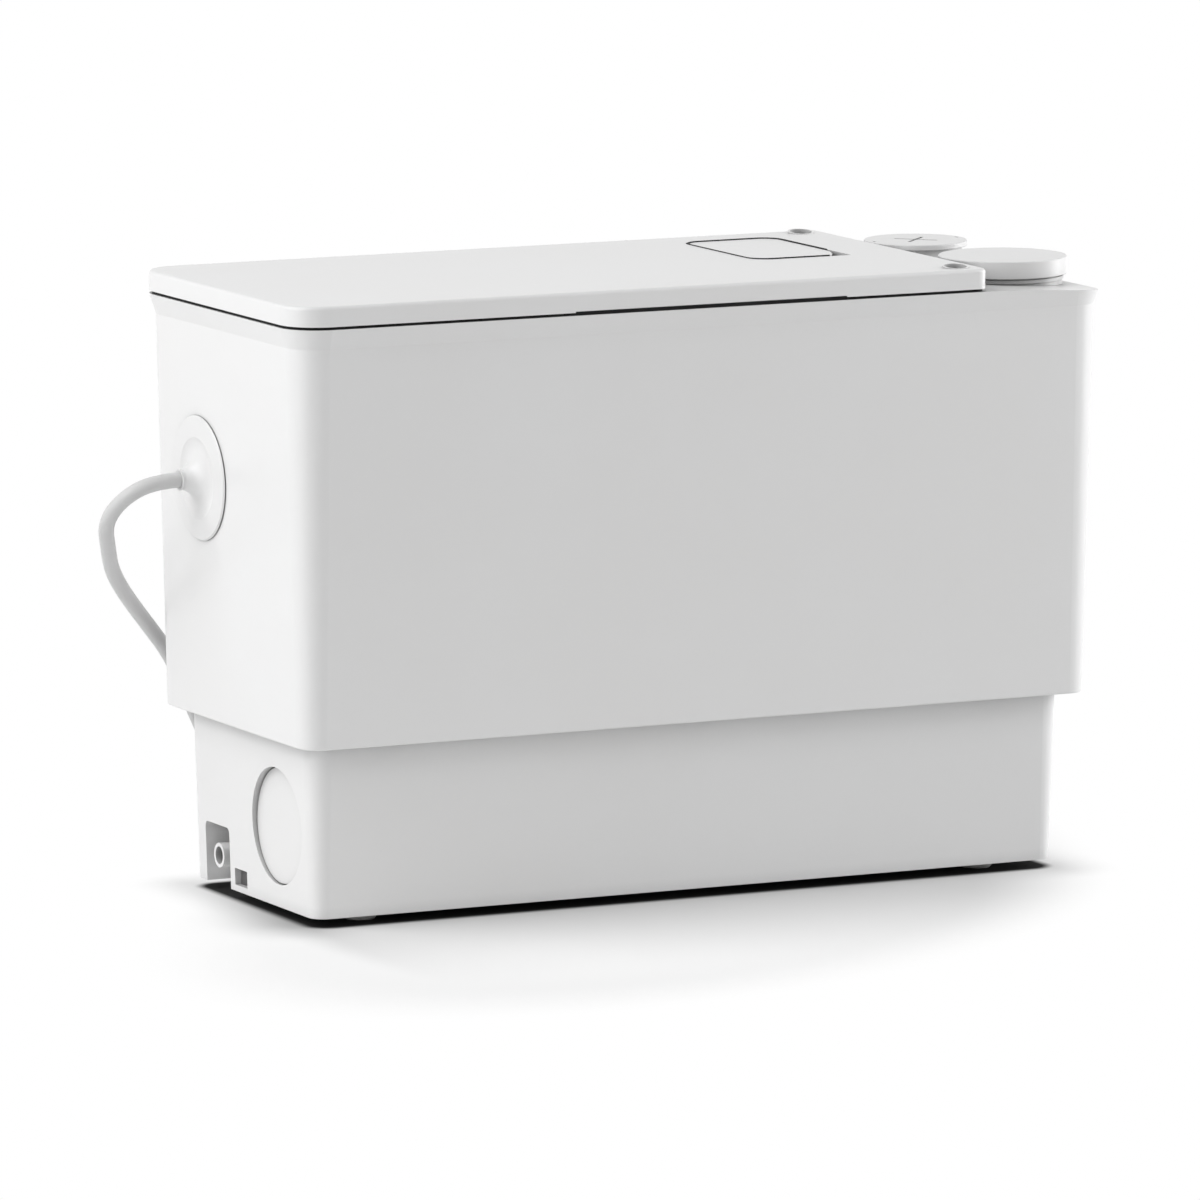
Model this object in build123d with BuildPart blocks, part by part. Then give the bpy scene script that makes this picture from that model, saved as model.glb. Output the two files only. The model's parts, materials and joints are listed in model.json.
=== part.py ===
from build123d import *

import math
import os

# Wastewater lifting station: a small box-shaped pump unit with a tank below, a dry
# compartment above, a lid with a filter hatch and two capped pipe ports at one end.
# Millimetres. X runs along the long side, the front faces -Y, and Z = 0 is the floor.

# Casing, from the rim under the lid down to the skirt over the tank
rim_length = 375.0
rim_depth = 159.5
rim_z = 248.5
flare_height = 8.4
flare_inset = 2.7
casing_draft_inset = 4.1
skirt_z = 75.7
skirt_corner = 9.4
skirt_edge_radius = 0.8
casing_wall = 3.0

# Deck at the right-hand end, crowned down towards the end of the rim
deck_crown_drop = 3.1
deck_crown_start = 4.6
deck_wall = 2.6
lid_ledge = 20.6

# Tank
foot_height = 3.75
foot_radius = 6.6
foot_from_end = 44.5
foot_from_side = 36.75
foot_stem_radius = 2.5
foot_stem_height = 2.0
end_step_width = 7.3
side_step_width = 10.5
tank_draft_inset = 2.4
tank_corner = 9.0
tank_wall = 2.5
tank_floor = 3.0
flange_thickness = 3.0
flange_above_skirt = 2.3
flange_clearance = 0.6
tank_gasket_thickness = 1.5
tank_gasket_width = 2.8
partition_thickness = 4.0
duct_guide_height = 8.0

# Floor-fixing pocket, its boss and the latch window at both ends of the tank
pocket_from_back = 44.25
pocket_width = 24.0
pocket_top_z = 29.2
pocket_depth = 13.0
pocket_corner = 2.5
pocket_wall = 2.5
fixing_boss_z = 16.1
fixing_boss_radius = 5.15
fixing_bore_radius = 3.7
fixing_bore_length = 10.0
latch_from_pocket = 22.6
latch_width = 12.3
latch_z = 9.9
latch_height = 7.1
latch_hollow_margin = 1.2

# Side inlets with their blanking plugs
side_inlet_from_front = 54.75
side_inlet_z = 37.6
side_inlet_radius = 24.5
side_inlet_length = 20.0
side_inlet_wall = 2.5
side_inlet_stop = 3.5
plug_clearance = 0.5
plug_recess = 2.1
plug_face_thickness = 2.5
plug_depth = 14.0
plug_wall = 2.2
plug_seal_width = 2.6
plug_seal_clearance = 0.3
plug_seal_sink = 1.1

# Lid
lid_gap = 1.2
lid_height = 8.4
lid_right_from_end = 58.9
lid_end_corner = 5.0
lid_edge_radius = 1.6
lid_top_thickness = 2.8
lid_wall = 4.0
lid_gasket_inset = 1.2
lid_gasket_width = 2.4
pry_slot_length = 124.5
pry_slot_height = 0.55
pry_slot_depth = 2.2

# Lid screws in their leaning bosses
lid_screw_from_end = 11.1
lid_screw_from_side = 9.25
screw_boss_radius = 5.6
screw_boss_lean = 6.0
screw_boss_front_rise = 0.1
screw_well_radius = 4.7
screw_well_depth = 5.5
lid_screw_head_radius = 3.7
lid_screw_head_height = 2.6
lid_screw_radius = 1.9
lid_screw_length = 18.0
lid_screw_clearance = 0.4
drive_socket_radius = 1.5
drive_socket_depth = 1.6

# Filter hatch, its recess in the lid and the filter below it
hatch_from_lid_end = 51.3
hatch_from_back = 54.25
hatch_recess_length = 44.6
hatch_recess_depth = 72.8
hatch_recess_corner = 9.0
hatch_recess_sink = 5.0
hatch_side_gap = 0.9
hatch_back_gap = 1.6
hatch_front_gap = 2.8
hatch_thickness = 2.8
hatch_sink = 0.1
hatch_edge_radius = 0.5
finger_cut_length = 19.1
finger_cut_width = 8.2
well_offset_x = -2.3
well_offset_y = 0.5
well_length = 34.0
well_width = 60.0
well_wall = 2.0
well_corner = 3.0
well_bottom_z = 219.0
hatch_seal_width = 1.5
hatch_seal_web = 0.8
seal_fit = 0.1
well_lip = 0.8
hatch_lip_clearance = 0.3
cartridge_clearance = 0.6
cartridge_wall = 1.5
cartridge_lift = 2.5
cartridge_slots = 7
cartridge_slot_width = 2.4
carbon_top_gap = 4.0

# Top inlet port and its plain cap, at the front of the deck
inlet_port_from_end = 30.2
inlet_port_from_front = 42.45
inlet_cap_radius = 27.0
inlet_cap_top_z = 258.0
inlet_cap_height = 7.5
inlet_cap_wall = 1.6
inlet_cap_top = 2.5
inlet_cap_edge_radius = 0.5
cap_clearance = 0.3
collar_step = 0.6
collar_groove = 0.5
collar_step_height = 1.4
inlet_socket_radius = 20.3
inlet_socket_length = 33.0
inlet_sleeve_radius = 22.8
inlet_sleeve_length = 38.0
socket_stop_thickness = 3.0
duct_radius = 19.5
duct_wall = 2.0
duct_clearance = 0.3
duct_insertion = 14.0
inlet_seal_thickness = 0.9

# Discharge port and its quarter-turn cap, at the back of the deck
discharge_port_from_end = 36.7
discharge_port_from_back = 51.05
discharge_cap_radius = 22.0
discharge_cap_top_z = 258.0
discharge_cap_thickness = 2.4
discharge_cap_edge_radius = 0.5
discharge_collar_radius = 19.8
discharge_bore_radius = 16.0
discharge_socket_length = 12.0
stopper_length = 10.5
stopper_wall = 3.0
spigot_radius = 13.0
spigot_bore_radius = 10.5
spigot_length = 28.0
cross_slot_length = 19.0
cross_slot_width = 1.5
cross_slot_depth = 1.4
cap_mark_length = 2.6
cap_mark_width = 0.8
cap_mark_depth = 0.5
cap_mark_spread = 19.6
stopper_seal_width = 2.0
stopper_seal_sink = 1.0

# Pump, on its own upright axis
pump_x = -30.0
pump_y = 0.0
volute_z = 16.0
volute_height = 28.0
volute_wall = 3.0
volute_small_radius = 38.0
volute_growth = 3.0
nozzle_y = 30.0
nozzle_end_x = 62.0
nozzle_radius = 14.0
nozzle_bore_radius = 11.0
nozzle_socket_length = 15.0
suction_radius = 17.0
volute_mouth_radius = 34.0
strainer_radius = 30.0
strainer_wall = 3.0
strainer_floor_gap = 0.8
strainer_slots = 12
strainer_slot_width = 6.0
impeller_radius = 31.0
impeller_disc = 3.0
impeller_hub_radius = 9.0
impeller_height = 15.0
impeller_top_gap = 7.0
impeller_vanes = 6
vane_thickness = 2.6
nut_height = 5.0
nut_radius = 7.0
shaft_radius = 5.0
shaft_end_radius = 4.0
running_clearance = 0.04
neck_flange_radius = 44.0
neck_flange_thickness = 4.0
neck_radius = 23.5
neck_clearance = 0.8
seal_chamber_radius = 17.0
seal_height = 8.0
seal_z = 54.0
bearing_height = 9.0
lower_bearing_radius = 15.0
upper_bearing_radius = 13.0
damper_thickness = 5.5
motor_radius = 46.0
motor_height = 100.0
motor_shell_wall = 2.0
stator_height = 56.0
stator_fit = 0.1
air_gap = 0.5
rotor_radius = 24.0
winding_height = 13.0
winding_margin = 3.5
end_cap_height = 12.0
end_cap_top = 4.0
end_cap_ribs = 8
pump_screw_head_radius = 3.5
pump_screw_head_height = 2.6
pump_screw_radius = 2.0

# Discharge line from the pump to the port
riser_from_lid_end = 28.6
pipe_fit = 0.1
pipe_wall = 2.5
pipe_bend = 22.0
valve_socket_z = 92.0
valve_socket_depth = 10.0
valve_socket_wall = 3.0
valve_seat_thickness = 4.0
valve_seat_radius = 9.5
valve_seat_rim = 1.0
valve_flange_radius = 24.0
valve_flange_thickness = 3.0
valve_chamber_radius = 18.5
valve_chamber_wall = 2.5
valve_chamber_height = 33.0
valve_spigot_length = 16.0
flap_radius = 11.8
flap_thickness = 2.2
flap_pin_from_axis = 13.8
flap_pin_radius = 1.5
flap_pin_length = 17.0
flap_pin_height = 3.0
knuckle_radius = 2.5
knuckle_width = 10.0
ear_thickness = 2.5
ear_gap = 0.5
hose_wall = 3.0
hose_straight = 29.0
hose_bend = 22.0
clamp_thickness = 1.2
clamp_width = 9.0
clamp_screw_radius = 3.0
clamp_screw_length = 9.0

# Vent pipe to the filter, level bell and pressure switch
vent_offset_x = -1.0
vent_offset_y = -22.0
vent_radius = 10.0
vent_wall = 2.0
vent_gap = 0.3
bell_radius = 12.0
bell_wall = 2.0
bell_floor_gap = 8.0
bell_flange_radius = 17.0
bell_flange_thickness = 3.0
switch_radius = 18.0
switch_height = 20.0
switch_tab_height = 5.0

# Control box on its legs, with the parts inside and the run capacitor under it
box_from_end = 15.5
box_from_back = 24.75
box_length = 74.0
box_width = 60.0
box_floor_z = 150.0
box_height = 50.0
box_wall = 2.5
box_corner = 4.0
box_leg_thickness = 3.0
box_foot_width = 7.0
box_cover_thickness = 3.0
board_lift = 8.0
board_thickness = 1.6
board_margin = 4.0
relay_length = 19.0
relay_width = 15.0
relay_height = 15.0
terminal_length = 22.0
terminal_width = 10.0
terminal_height = 11.0
smoothing_radius = 5.0
smoothing_height = 18.0
relay_offset_x = 14.0
relay_offset_y = -8.0
terminal_offset_x = 16.0
terminal_offset_y = 14.0
smoothing_offset_x = -10.0
smoothing_offset_y = 16.0
box_post_radius = 3.0
box_post_from_side = 10.0
capacitor_radius = 14.0
capacitor_length = 48.0
capacitor_gap = 0.3
lead_radius = 2.5
lead_rise = 24.0
lead_bend = 10.0
lead_start_offset_y = 12.0
lead_end_offset_y = -8.0

# Cable grommet on the left face
grommet_from_back = 54.15
grommet_z = 176.2
grommet_radius = 26.0
grommet_rim = 1.2
grommet_undercut = 0.8
grommet_undercut_height = 0.4
grommet_reach = 9.5
grommet_collar_radius = 4.45
grommet_spigot_radius = 9.3
grommet_spigot_length = 9.0
grommet_flare_radius = 17.0
grommet_flare_rise = 0.5

# Mains cable, coil and plug
cable_diameter = 6.5
cable_clearance = 0.1
coil_outer_radius = 44.0
coil_pitch = 7.2
coil_centre_x = 4.0
coil_centre_y = 126.0
coil_half_turns_each_layer = 3
plug_relief_radius = 5.2
plug_relief_length = 24.0
plug_relief_grooves = 4
plug_groove_pitch = 4.6
plug_groove_width = 1.8
plug_groove_depth = 1.0
plug_grip_radius = 13.0
plug_face_radius = 19.0
plug_body_length = 34.0
plug_pin_radius = 2.4
plug_pin_length = 19.0
plug_pin_spread = 9.5

# Casing screws, driven up through the tank flange
casing_screw_from_end = 47.5
casing_screw_radius = 1.9
casing_screw_head_radius = 3.0
casing_screw_head_height = 1.8
casing_screw_length = 20.0
casing_post_radius = 4.2
casing_post_height = 26.0
casing_post_rib = 2.5
screw_hole_clearance = 0.3

# Sizes that follow from the ones above
flare_z = rim_z - flare_height
flare_length = rim_length - 2 * flare_inset
flare_depth = rim_depth - 2 * flare_inset
skirt_length = flare_length - 2 * casing_draft_inset
skirt_depth = flare_depth - 2 * casing_draft_inset
casing_taper = math.degrees(math.atan(casing_draft_inset / (flare_z - skirt_z)))
flare_taper = math.degrees(math.atan(flare_inset / flare_height))
rim_corner = skirt_corner + casing_draft_inset + flare_inset
deck_under_z = rim_z - deck_crown_drop - deck_wall
tank_top_length = skirt_length - 2 * end_step_width
tank_top_depth = skirt_depth - 2 * side_step_width
tank_base_length = tank_top_length - 2 * tank_draft_inset
tank_base_depth = tank_top_depth - 2 * tank_draft_inset
tank_base_corner = tank_corner - tank_draft_inset
tank_taper = math.degrees(math.atan(tank_draft_inset / (skirt_z - foot_height)))
tank_inside_z = foot_height + tank_floor
flange_z = skirt_z + flange_above_skirt
flange_length = skirt_length - 2 * casing_wall - 2 * flange_clearance
flange_depth = skirt_depth - 2 * casing_wall - 2 * flange_clearance
flange_corner = skirt_corner - casing_wall - flange_clearance
tank_gasket_z = flange_z + flange_thickness
partition_z = tank_gasket_z + tank_gasket_thickness
compartment_z = partition_z + partition_thickness
tank_mouth_length = tank_top_length - 2 * tank_wall
tank_mouth_depth = tank_top_depth - 2 * tank_wall
lid_z = rim_z + lid_gap
lid_top_z = lid_z + lid_height
lid_left_x = -rim_length / 2
lid_right_x = rim_length / 2 - lid_right_from_end
lid_length = lid_right_x - lid_left_x
lid_middle_x = (lid_right_x + lid_left_x) / 2
ledge_x = lid_right_x - lid_ledge
riser_x = lid_right_x - riser_from_lid_end
hatch_x = lid_right_x - hatch_from_lid_end
well_x = hatch_x + well_offset_x
casing_screw_x = rim_length / 2 - casing_screw_from_end
casing_screw_y = (tank_top_depth / 2 + skirt_depth / 2 - casing_wall) / 2
casing_rib_end_y = skirt_depth / 2 - casing_wall / 2
foot_spread_x = rim_length / 2 - foot_from_end
foot_spread_y = rim_depth / 2 - foot_from_side
pocket_y = rim_depth / 2 - pocket_from_back
latch_y = pocket_y - latch_from_pocket
side_inlet_y = side_inlet_from_front - rim_depth / 2
lid_screw_y = rim_depth / 2 - lid_screw_from_side
hatch_y = rim_depth / 2 - hatch_from_back
inlet_port_x = rim_length / 2 - inlet_port_from_end
inlet_port_y = inlet_port_from_front - rim_depth / 2
discharge_port_x = rim_length / 2 - discharge_port_from_end
discharge_port_y = rim_depth / 2 - discharge_port_from_back
box_x = box_from_end + box_length / 2 - rim_length / 2
box_y = rim_depth / 2 - box_from_back - box_width / 2
bell_x = box_x
bell_y = box_y
grommet_y = rim_depth / 2 - grommet_from_back
riser_y = nozzle_y
well_y = hatch_y + well_offset_y
vent_x = well_x + vent_offset_x
vent_y = well_y + vent_offset_y


def casing_half_length(z):
    """Half the casing's outside length at a height between the skirt and the flare."""
    return skirt_length / 2 + casing_draft_inset * (z - skirt_z) / (flare_z - skirt_z)


def tank_half_length(z):
    """Half the tank's outside length at a height below the skirt."""
    return tank_base_length / 2 + tank_draft_inset * (z - foot_height) / (skirt_z - foot_height)


def upright(radius, bottom_z, top_z, mode=Mode.ADD):
    """A round boss or bore between two heights, on the current locations."""
    with Locations((0, 0, bottom_z)):
        Cylinder(radius, top_z - bottom_z, align=(Align.CENTER, Align.CENTER, Align.MIN), mode=mode)


def bend_radii(points):
    """The largest bend that each corner of a cable's route leaves room for."""
    radii = []
    for before, corner, after in zip(points, points[1:], points[2:]):
        arriving = Vector(corner) - Vector(before)
        leaving = Vector(after) - Vector(corner)
        half_turn = math.radians(arriving.get_angle(leaving)) / 2
        radii.append(0.45 * min(arriving.length, leaving.length) / math.tan(half_turn))
    return radii


# Tank with its end pockets, side inlets and flange
with BuildPart() as tank:
    with BuildSketch(Plane.XY.offset(foot_height)):
        RectangleRounded(tank_base_length, tank_base_depth, tank_base_corner)
    extrude(amount=flange_z + flange_thickness - foot_height, taper=-tank_taper)
    with BuildSketch(Plane.XY.offset(flange_z)):
        RectangleRounded(flange_length, flange_depth, flange_corner)
    extrude(amount=flange_thickness)
    with BuildSketch(Plane.XY.offset(tank_inside_z)):
        RectangleRounded(
            tank_base_length - 2 * tank_wall,
            tank_base_depth - 2 * tank_wall,
            tank_base_corner - tank_wall,
        )
    extrude(amount=tank_gasket_z - tank_inside_z, taper=-tank_taper, mode=Mode.SUBTRACT)

    latch_hollow_width = latch_width + 2 * latch_hollow_margin
    latch_hollow_top_z = latch_z + latch_height / 2 + latch_hollow_margin
    bay_front_y = latch_y - latch_hollow_width / 2 - pocket_wall
    bay_back_y = pocket_y + pocket_width / 2 + pocket_wall
    bay_inner_x = tank_base_length / 2 - pocket_depth - pocket_wall
    bay_outer_x = tank_base_length / 2 - tank_wall / 2
    for side in (-1, 1):
        # The bay that holds the pocket and the latch hollow
        with Locations((
            side * (bay_inner_x + bay_outer_x) / 2,
            (bay_front_y + bay_back_y) / 2,
            foot_height,
        )):
            Box(
                bay_outer_x - bay_inner_x,
                bay_back_y - bay_front_y,
                pocket_top_z + pocket_wall - foot_height,
                align=(Align.CENTER, Align.CENTER, Align.MIN),
            )
        # Side inlet collar
        inlet_face_x = tank_half_length(side_inlet_z)
        inlet_plane = Plane(
            origin=(side * (inlet_face_x - side_inlet_length), side_inlet_y, side_inlet_z),
            x_dir=(0, 1, 0),
            z_dir=(side, 0, 0),
        )
        with BuildSketch(inlet_plane):
            Circle(side_inlet_radius + side_inlet_wall)
        extrude(amount=side_inlet_length - tank_wall / 2)
        with BuildSketch(inlet_plane.offset(side_inlet_stop)):
            Circle(side_inlet_radius)
        extrude(amount=side_inlet_length + tank_wall, mode=Mode.SUBTRACT)
        with BuildSketch(inlet_plane.offset(-tank_wall)):
            Circle(side_inlet_radius - side_inlet_stop)
        extrude(amount=side_inlet_length, mode=Mode.SUBTRACT)

        # Fixing pocket, open at the end face and below
        pocket_plane = Plane(
            origin=(side * (tank_base_length / 2 - pocket_depth), pocket_y, 0),
            x_dir=(0, 1, 0),
            z_dir=(side, 0, 0),
        )
        with BuildSketch(pocket_plane) as pocket_outline:
            with Locations((0, side * pocket_top_z / 2)):
                Rectangle(pocket_width, pocket_top_z)
            fillet(pocket_outline.vertices().group_by(Axis.Z)[-1], radius=pocket_corner)
        extrude(amount=pocket_depth * 2, mode=Mode.SUBTRACT)

        # Latch window in the end face and the hollow behind it, open below
        with Locations((side * (tank_base_length / 2 - tank_wall), latch_y, 0)):
            with Locations((-side * (pocket_depth - tank_wall) / 2, 0, 0)):
                Box(
                    pocket_depth - tank_wall,
                    latch_hollow_width,
                    latch_hollow_top_z,
                    align=(Align.CENTER, Align.CENTER, Align.MIN),
                    mode=Mode.SUBTRACT,
                )
            with Locations((0, 0, latch_z)):
                Box(3 * tank_wall, latch_width, latch_height, mode=Mode.SUBTRACT)

    with GridLocations(2 * foot_spread_x, 2 * foot_spread_y, 2, 2):
        upright(foot_stem_radius + pipe_fit, foot_height - 1, foot_height + foot_stem_height, Mode.SUBTRACT)
    with GridLocations(casing_screw_x, 2 * casing_screw_y, 3, 2):
        upright(casing_screw_radius + screw_hole_clearance, flange_z - 1, tank_gasket_z + 1, Mode.SUBTRACT)

# Bush on the back wall of each fixing pocket, with the bore for the floor bracket's peg
with BuildPart() as fixing_bushes:
    for side in (-1, 1):
        bush_plane = Plane(
            origin=(side * (tank_base_length / 2 - pocket_depth), pocket_y, fixing_boss_z),
            x_dir=(0, 1, 0),
            z_dir=(side, 0, 0),
        )
        with BuildSketch(bush_plane):
            Circle(fixing_boss_radius)
        extrude(amount=pocket_depth)
        with BuildSketch(bush_plane.offset(pocket_depth - fixing_bore_length)):
            Circle(fixing_bore_radius)
        extrude(amount=pocket_depth, mode=Mode.SUBTRACT)

with BuildPart() as rubber_feet:
    with GridLocations(2 * foot_spread_x, 2 * foot_spread_y, 2, 2):
        upright(foot_radius, 0, foot_height)
        upright(foot_stem_radius, foot_height, foot_height + foot_stem_height)
    chamfer(rubber_feet.edges().group_by(Axis.Z)[0], length=0.6)

with BuildPart() as tank_gasket:
    with BuildSketch(Plane.XY.offset(tank_gasket_z)):
        RectangleRounded(
            tank_mouth_length + 2 * tank_gasket_width + 1,
            tank_mouth_depth + 2 * tank_gasket_width + 1,
            tank_corner,
        )
        RectangleRounded(tank_mouth_length + 1, tank_mouth_depth + 1, tank_corner - tank_gasket_width, mode=Mode.SUBTRACT)
    extrude(amount=tank_gasket_thickness)

# Partition between the tank and the dry compartment
with BuildPart() as partition:
    with BuildSketch(Plane.XY.offset(partition_z)):
        RectangleRounded(flange_length, flange_depth, flange_corner)
    extrude(amount=partition_thickness)
    with Locations((inlet_port_x, inlet_port_y)):
        upright(duct_radius - duct_wall - duct_clearance, partition_z, compartment_z + duct_guide_height)
        upright(
            duct_radius - 2 * duct_wall - duct_clearance,
            partition_z - 1,
            compartment_z + duct_guide_height + 1,
            Mode.SUBTRACT,
        )
    with Locations((pump_x, pump_y)):
        upright(neck_radius + neck_clearance, partition_z - 1, compartment_z + 1, Mode.SUBTRACT)
    with Locations((riser_x, riser_y)):
        upright(spigot_radius + pipe_fit, partition_z - 1, compartment_z + 1, Mode.SUBTRACT)
    with Locations((vent_x, vent_y)):
        upright(vent_radius - vent_wall, partition_z - 1, compartment_z + 1, Mode.SUBTRACT)
    with Locations((bell_x, bell_y)):
        upright(bell_radius + pipe_fit, partition_z - 1, compartment_z + 1, Mode.SUBTRACT)
    with GridLocations(casing_screw_x, 2 * casing_screw_y, 3, 2):
        upright(casing_screw_radius + screw_hole_clearance, partition_z - 1, compartment_z + 1, Mode.SUBTRACT)

# Casing with its flared rim, deck and two ports
inlet_collar_top_z = inlet_cap_top_z - inlet_cap_top - inlet_seal_thickness
inlet_collar_radius = inlet_cap_radius - inlet_cap_wall - cap_clearance
collar_step_z = inlet_cap_top_z - inlet_cap_height - collar_groove
inlet_stop_z = inlet_collar_top_z - inlet_socket_length
discharge_collar_top_z = discharge_cap_top_z - discharge_cap_thickness
lid_screw_x = lid_right_x - lid_screw_from_end
grommet_face_x = -casing_half_length(grommet_z)
grommet_axis = Vector(-1, 0, 0).rotate(Axis.Y, -casing_taper)
grommet_plane = Plane(
    origin=(grommet_face_x, grommet_y, grommet_z),
    x_dir=(0, 1, 0),
    z_dir=grommet_axis,
)
with BuildPart() as housing:
    with BuildSketch(Plane.XY.offset(skirt_z)):
        RectangleRounded(skirt_length, skirt_depth, skirt_corner)
    extrude(amount=flare_z - skirt_z, taper=-casing_taper)
    fillet(housing.edges().group_by(Axis.Z)[0], radius=skirt_edge_radius)
    with BuildSketch(Plane.XY.offset(flare_z)):
        RectangleRounded(flare_length, flare_depth, skirt_corner + casing_draft_inset)
    extrude(amount=flare_height, taper=-flare_taper)
    with BuildSketch(Plane.XY.offset(skirt_z)):
        RectangleRounded(
            skirt_length - 2 * casing_wall,
            skirt_depth - 2 * casing_wall,
            skirt_corner - casing_wall,
        )
    extrude(amount=deck_under_z - skirt_z, taper=-casing_taper, mode=Mode.SUBTRACT)
    with BuildSketch(Plane.XY.offset(deck_under_z)):
        with Locations(((ledge_x - rim_length / 2 + lid_wall) / 2, 0)):
            RectangleRounded(
                ledge_x + rim_length / 2 - lid_wall,
                rim_depth - 2 * lid_wall,
                rim_corner - lid_wall,
            )
    extrude(amount=rim_z - deck_under_z, mode=Mode.SUBTRACT)
    crown_x = lid_right_x - deck_crown_start
    crown_run = rim_length / 2 - crown_x
    with BuildSketch(Plane.XZ):
        with BuildLine():
            ThreePointArc(
                (crown_x, rim_z),
                (crown_x + crown_run / 2, rim_z - deck_crown_drop / 4),
                (crown_x + crown_run, rim_z - deck_crown_drop),
            )
            Polyline(
                (crown_x + crown_run, rim_z - deck_crown_drop),
                (crown_x + crown_run + 1, rim_z - deck_crown_drop),
                (crown_x + crown_run + 1, rim_z + 1),
                (crown_x, rim_z + 1),
                (crown_x, rim_z),
            )
        make_face()
    extrude(amount=rim_depth, both=True, mode=Mode.SUBTRACT)

    # Top inlet port: collar above the deck, sleeve below it
    with Locations((inlet_port_x, inlet_port_y)):
        upright(inlet_collar_radius, deck_under_z, inlet_collar_top_z)
        upright(inlet_collar_radius + collar_step, collar_step_z - collar_step_height, collar_step_z)
        upright(inlet_sleeve_radius, deck_under_z - inlet_sleeve_length, deck_under_z)
        upright(inlet_socket_radius, inlet_stop_z, inlet_collar_top_z + 1, Mode.SUBTRACT)
        upright(duct_radius - duct_wall, inlet_stop_z - socket_stop_thickness - 1, inlet_stop_z + 1, Mode.SUBTRACT)
        upright(
            duct_radius + duct_clearance,
            deck_under_z - inlet_sleeve_length - 1,
            inlet_stop_z - socket_stop_thickness,
            Mode.SUBTRACT,
        )
    # Discharge port: collar above, hose spigot below
    with Locations((discharge_port_x, discharge_port_y)):
        upright(discharge_collar_radius, deck_under_z, discharge_collar_top_z)
        upright(spigot_radius, deck_under_z - spigot_length, deck_under_z)
        upright(
            discharge_bore_radius,
            discharge_collar_top_z - discharge_socket_length,
            discharge_collar_top_z + 1,
            Mode.SUBTRACT,
        )
        upright(spigot_bore_radius, deck_under_z - spigot_length - 1, discharge_collar_top_z, Mode.SUBTRACT)
    # Posts for the lid screws and the casing screws
    with Locations((lid_screw_x, lid_screw_y), (lid_screw_x, -lid_screw_y)):
        upright(screw_boss_radius, deck_under_z - lid_screw_length, deck_under_z)
        upright(lid_screw_radius + lid_screw_clearance, deck_under_z - lid_screw_length + 2, rim_z + 1, Mode.SUBTRACT)
    with GridLocations(casing_screw_x, 2 * casing_screw_y, 3, 2):
        upright(casing_post_radius, compartment_z, compartment_z + casing_post_height)
    for rib_side in (-1, 1):
        with Locations((0, rib_side * (casing_screw_y + casing_rib_end_y) / 2, compartment_z)):
            with GridLocations(casing_screw_x, 0, 3, 1):
                Box(
                    casing_post_rib,
                    casing_rib_end_y - casing_screw_y,
                    casing_post_height,
                    align=(Align.CENTER, Align.CENTER, Align.MIN),
                )
    with GridLocations(casing_screw_x, 2 * casing_screw_y, 3, 2):
        upright(
            casing_screw_radius + screw_hole_clearance,
            compartment_z - 1,
            flange_z + casing_screw_length + 1,
            Mode.SUBTRACT,
        )
    # Hole for the cable grommet
    with BuildSketch(grommet_plane.offset(-grommet_spigot_length)):
        Circle(grommet_spigot_radius + cap_clearance)
    extrude(amount=2 * grommet_spigot_length, mode=Mode.SUBTRACT)

with BuildPart() as housing_screws:
    with GridLocations(casing_screw_x, 2 * casing_screw_y, 3, 2):
        upright(casing_screw_head_radius, flange_z - casing_screw_head_height, flange_z)
        upright(casing_screw_radius, flange_z, flange_z + casing_screw_length)

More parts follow.
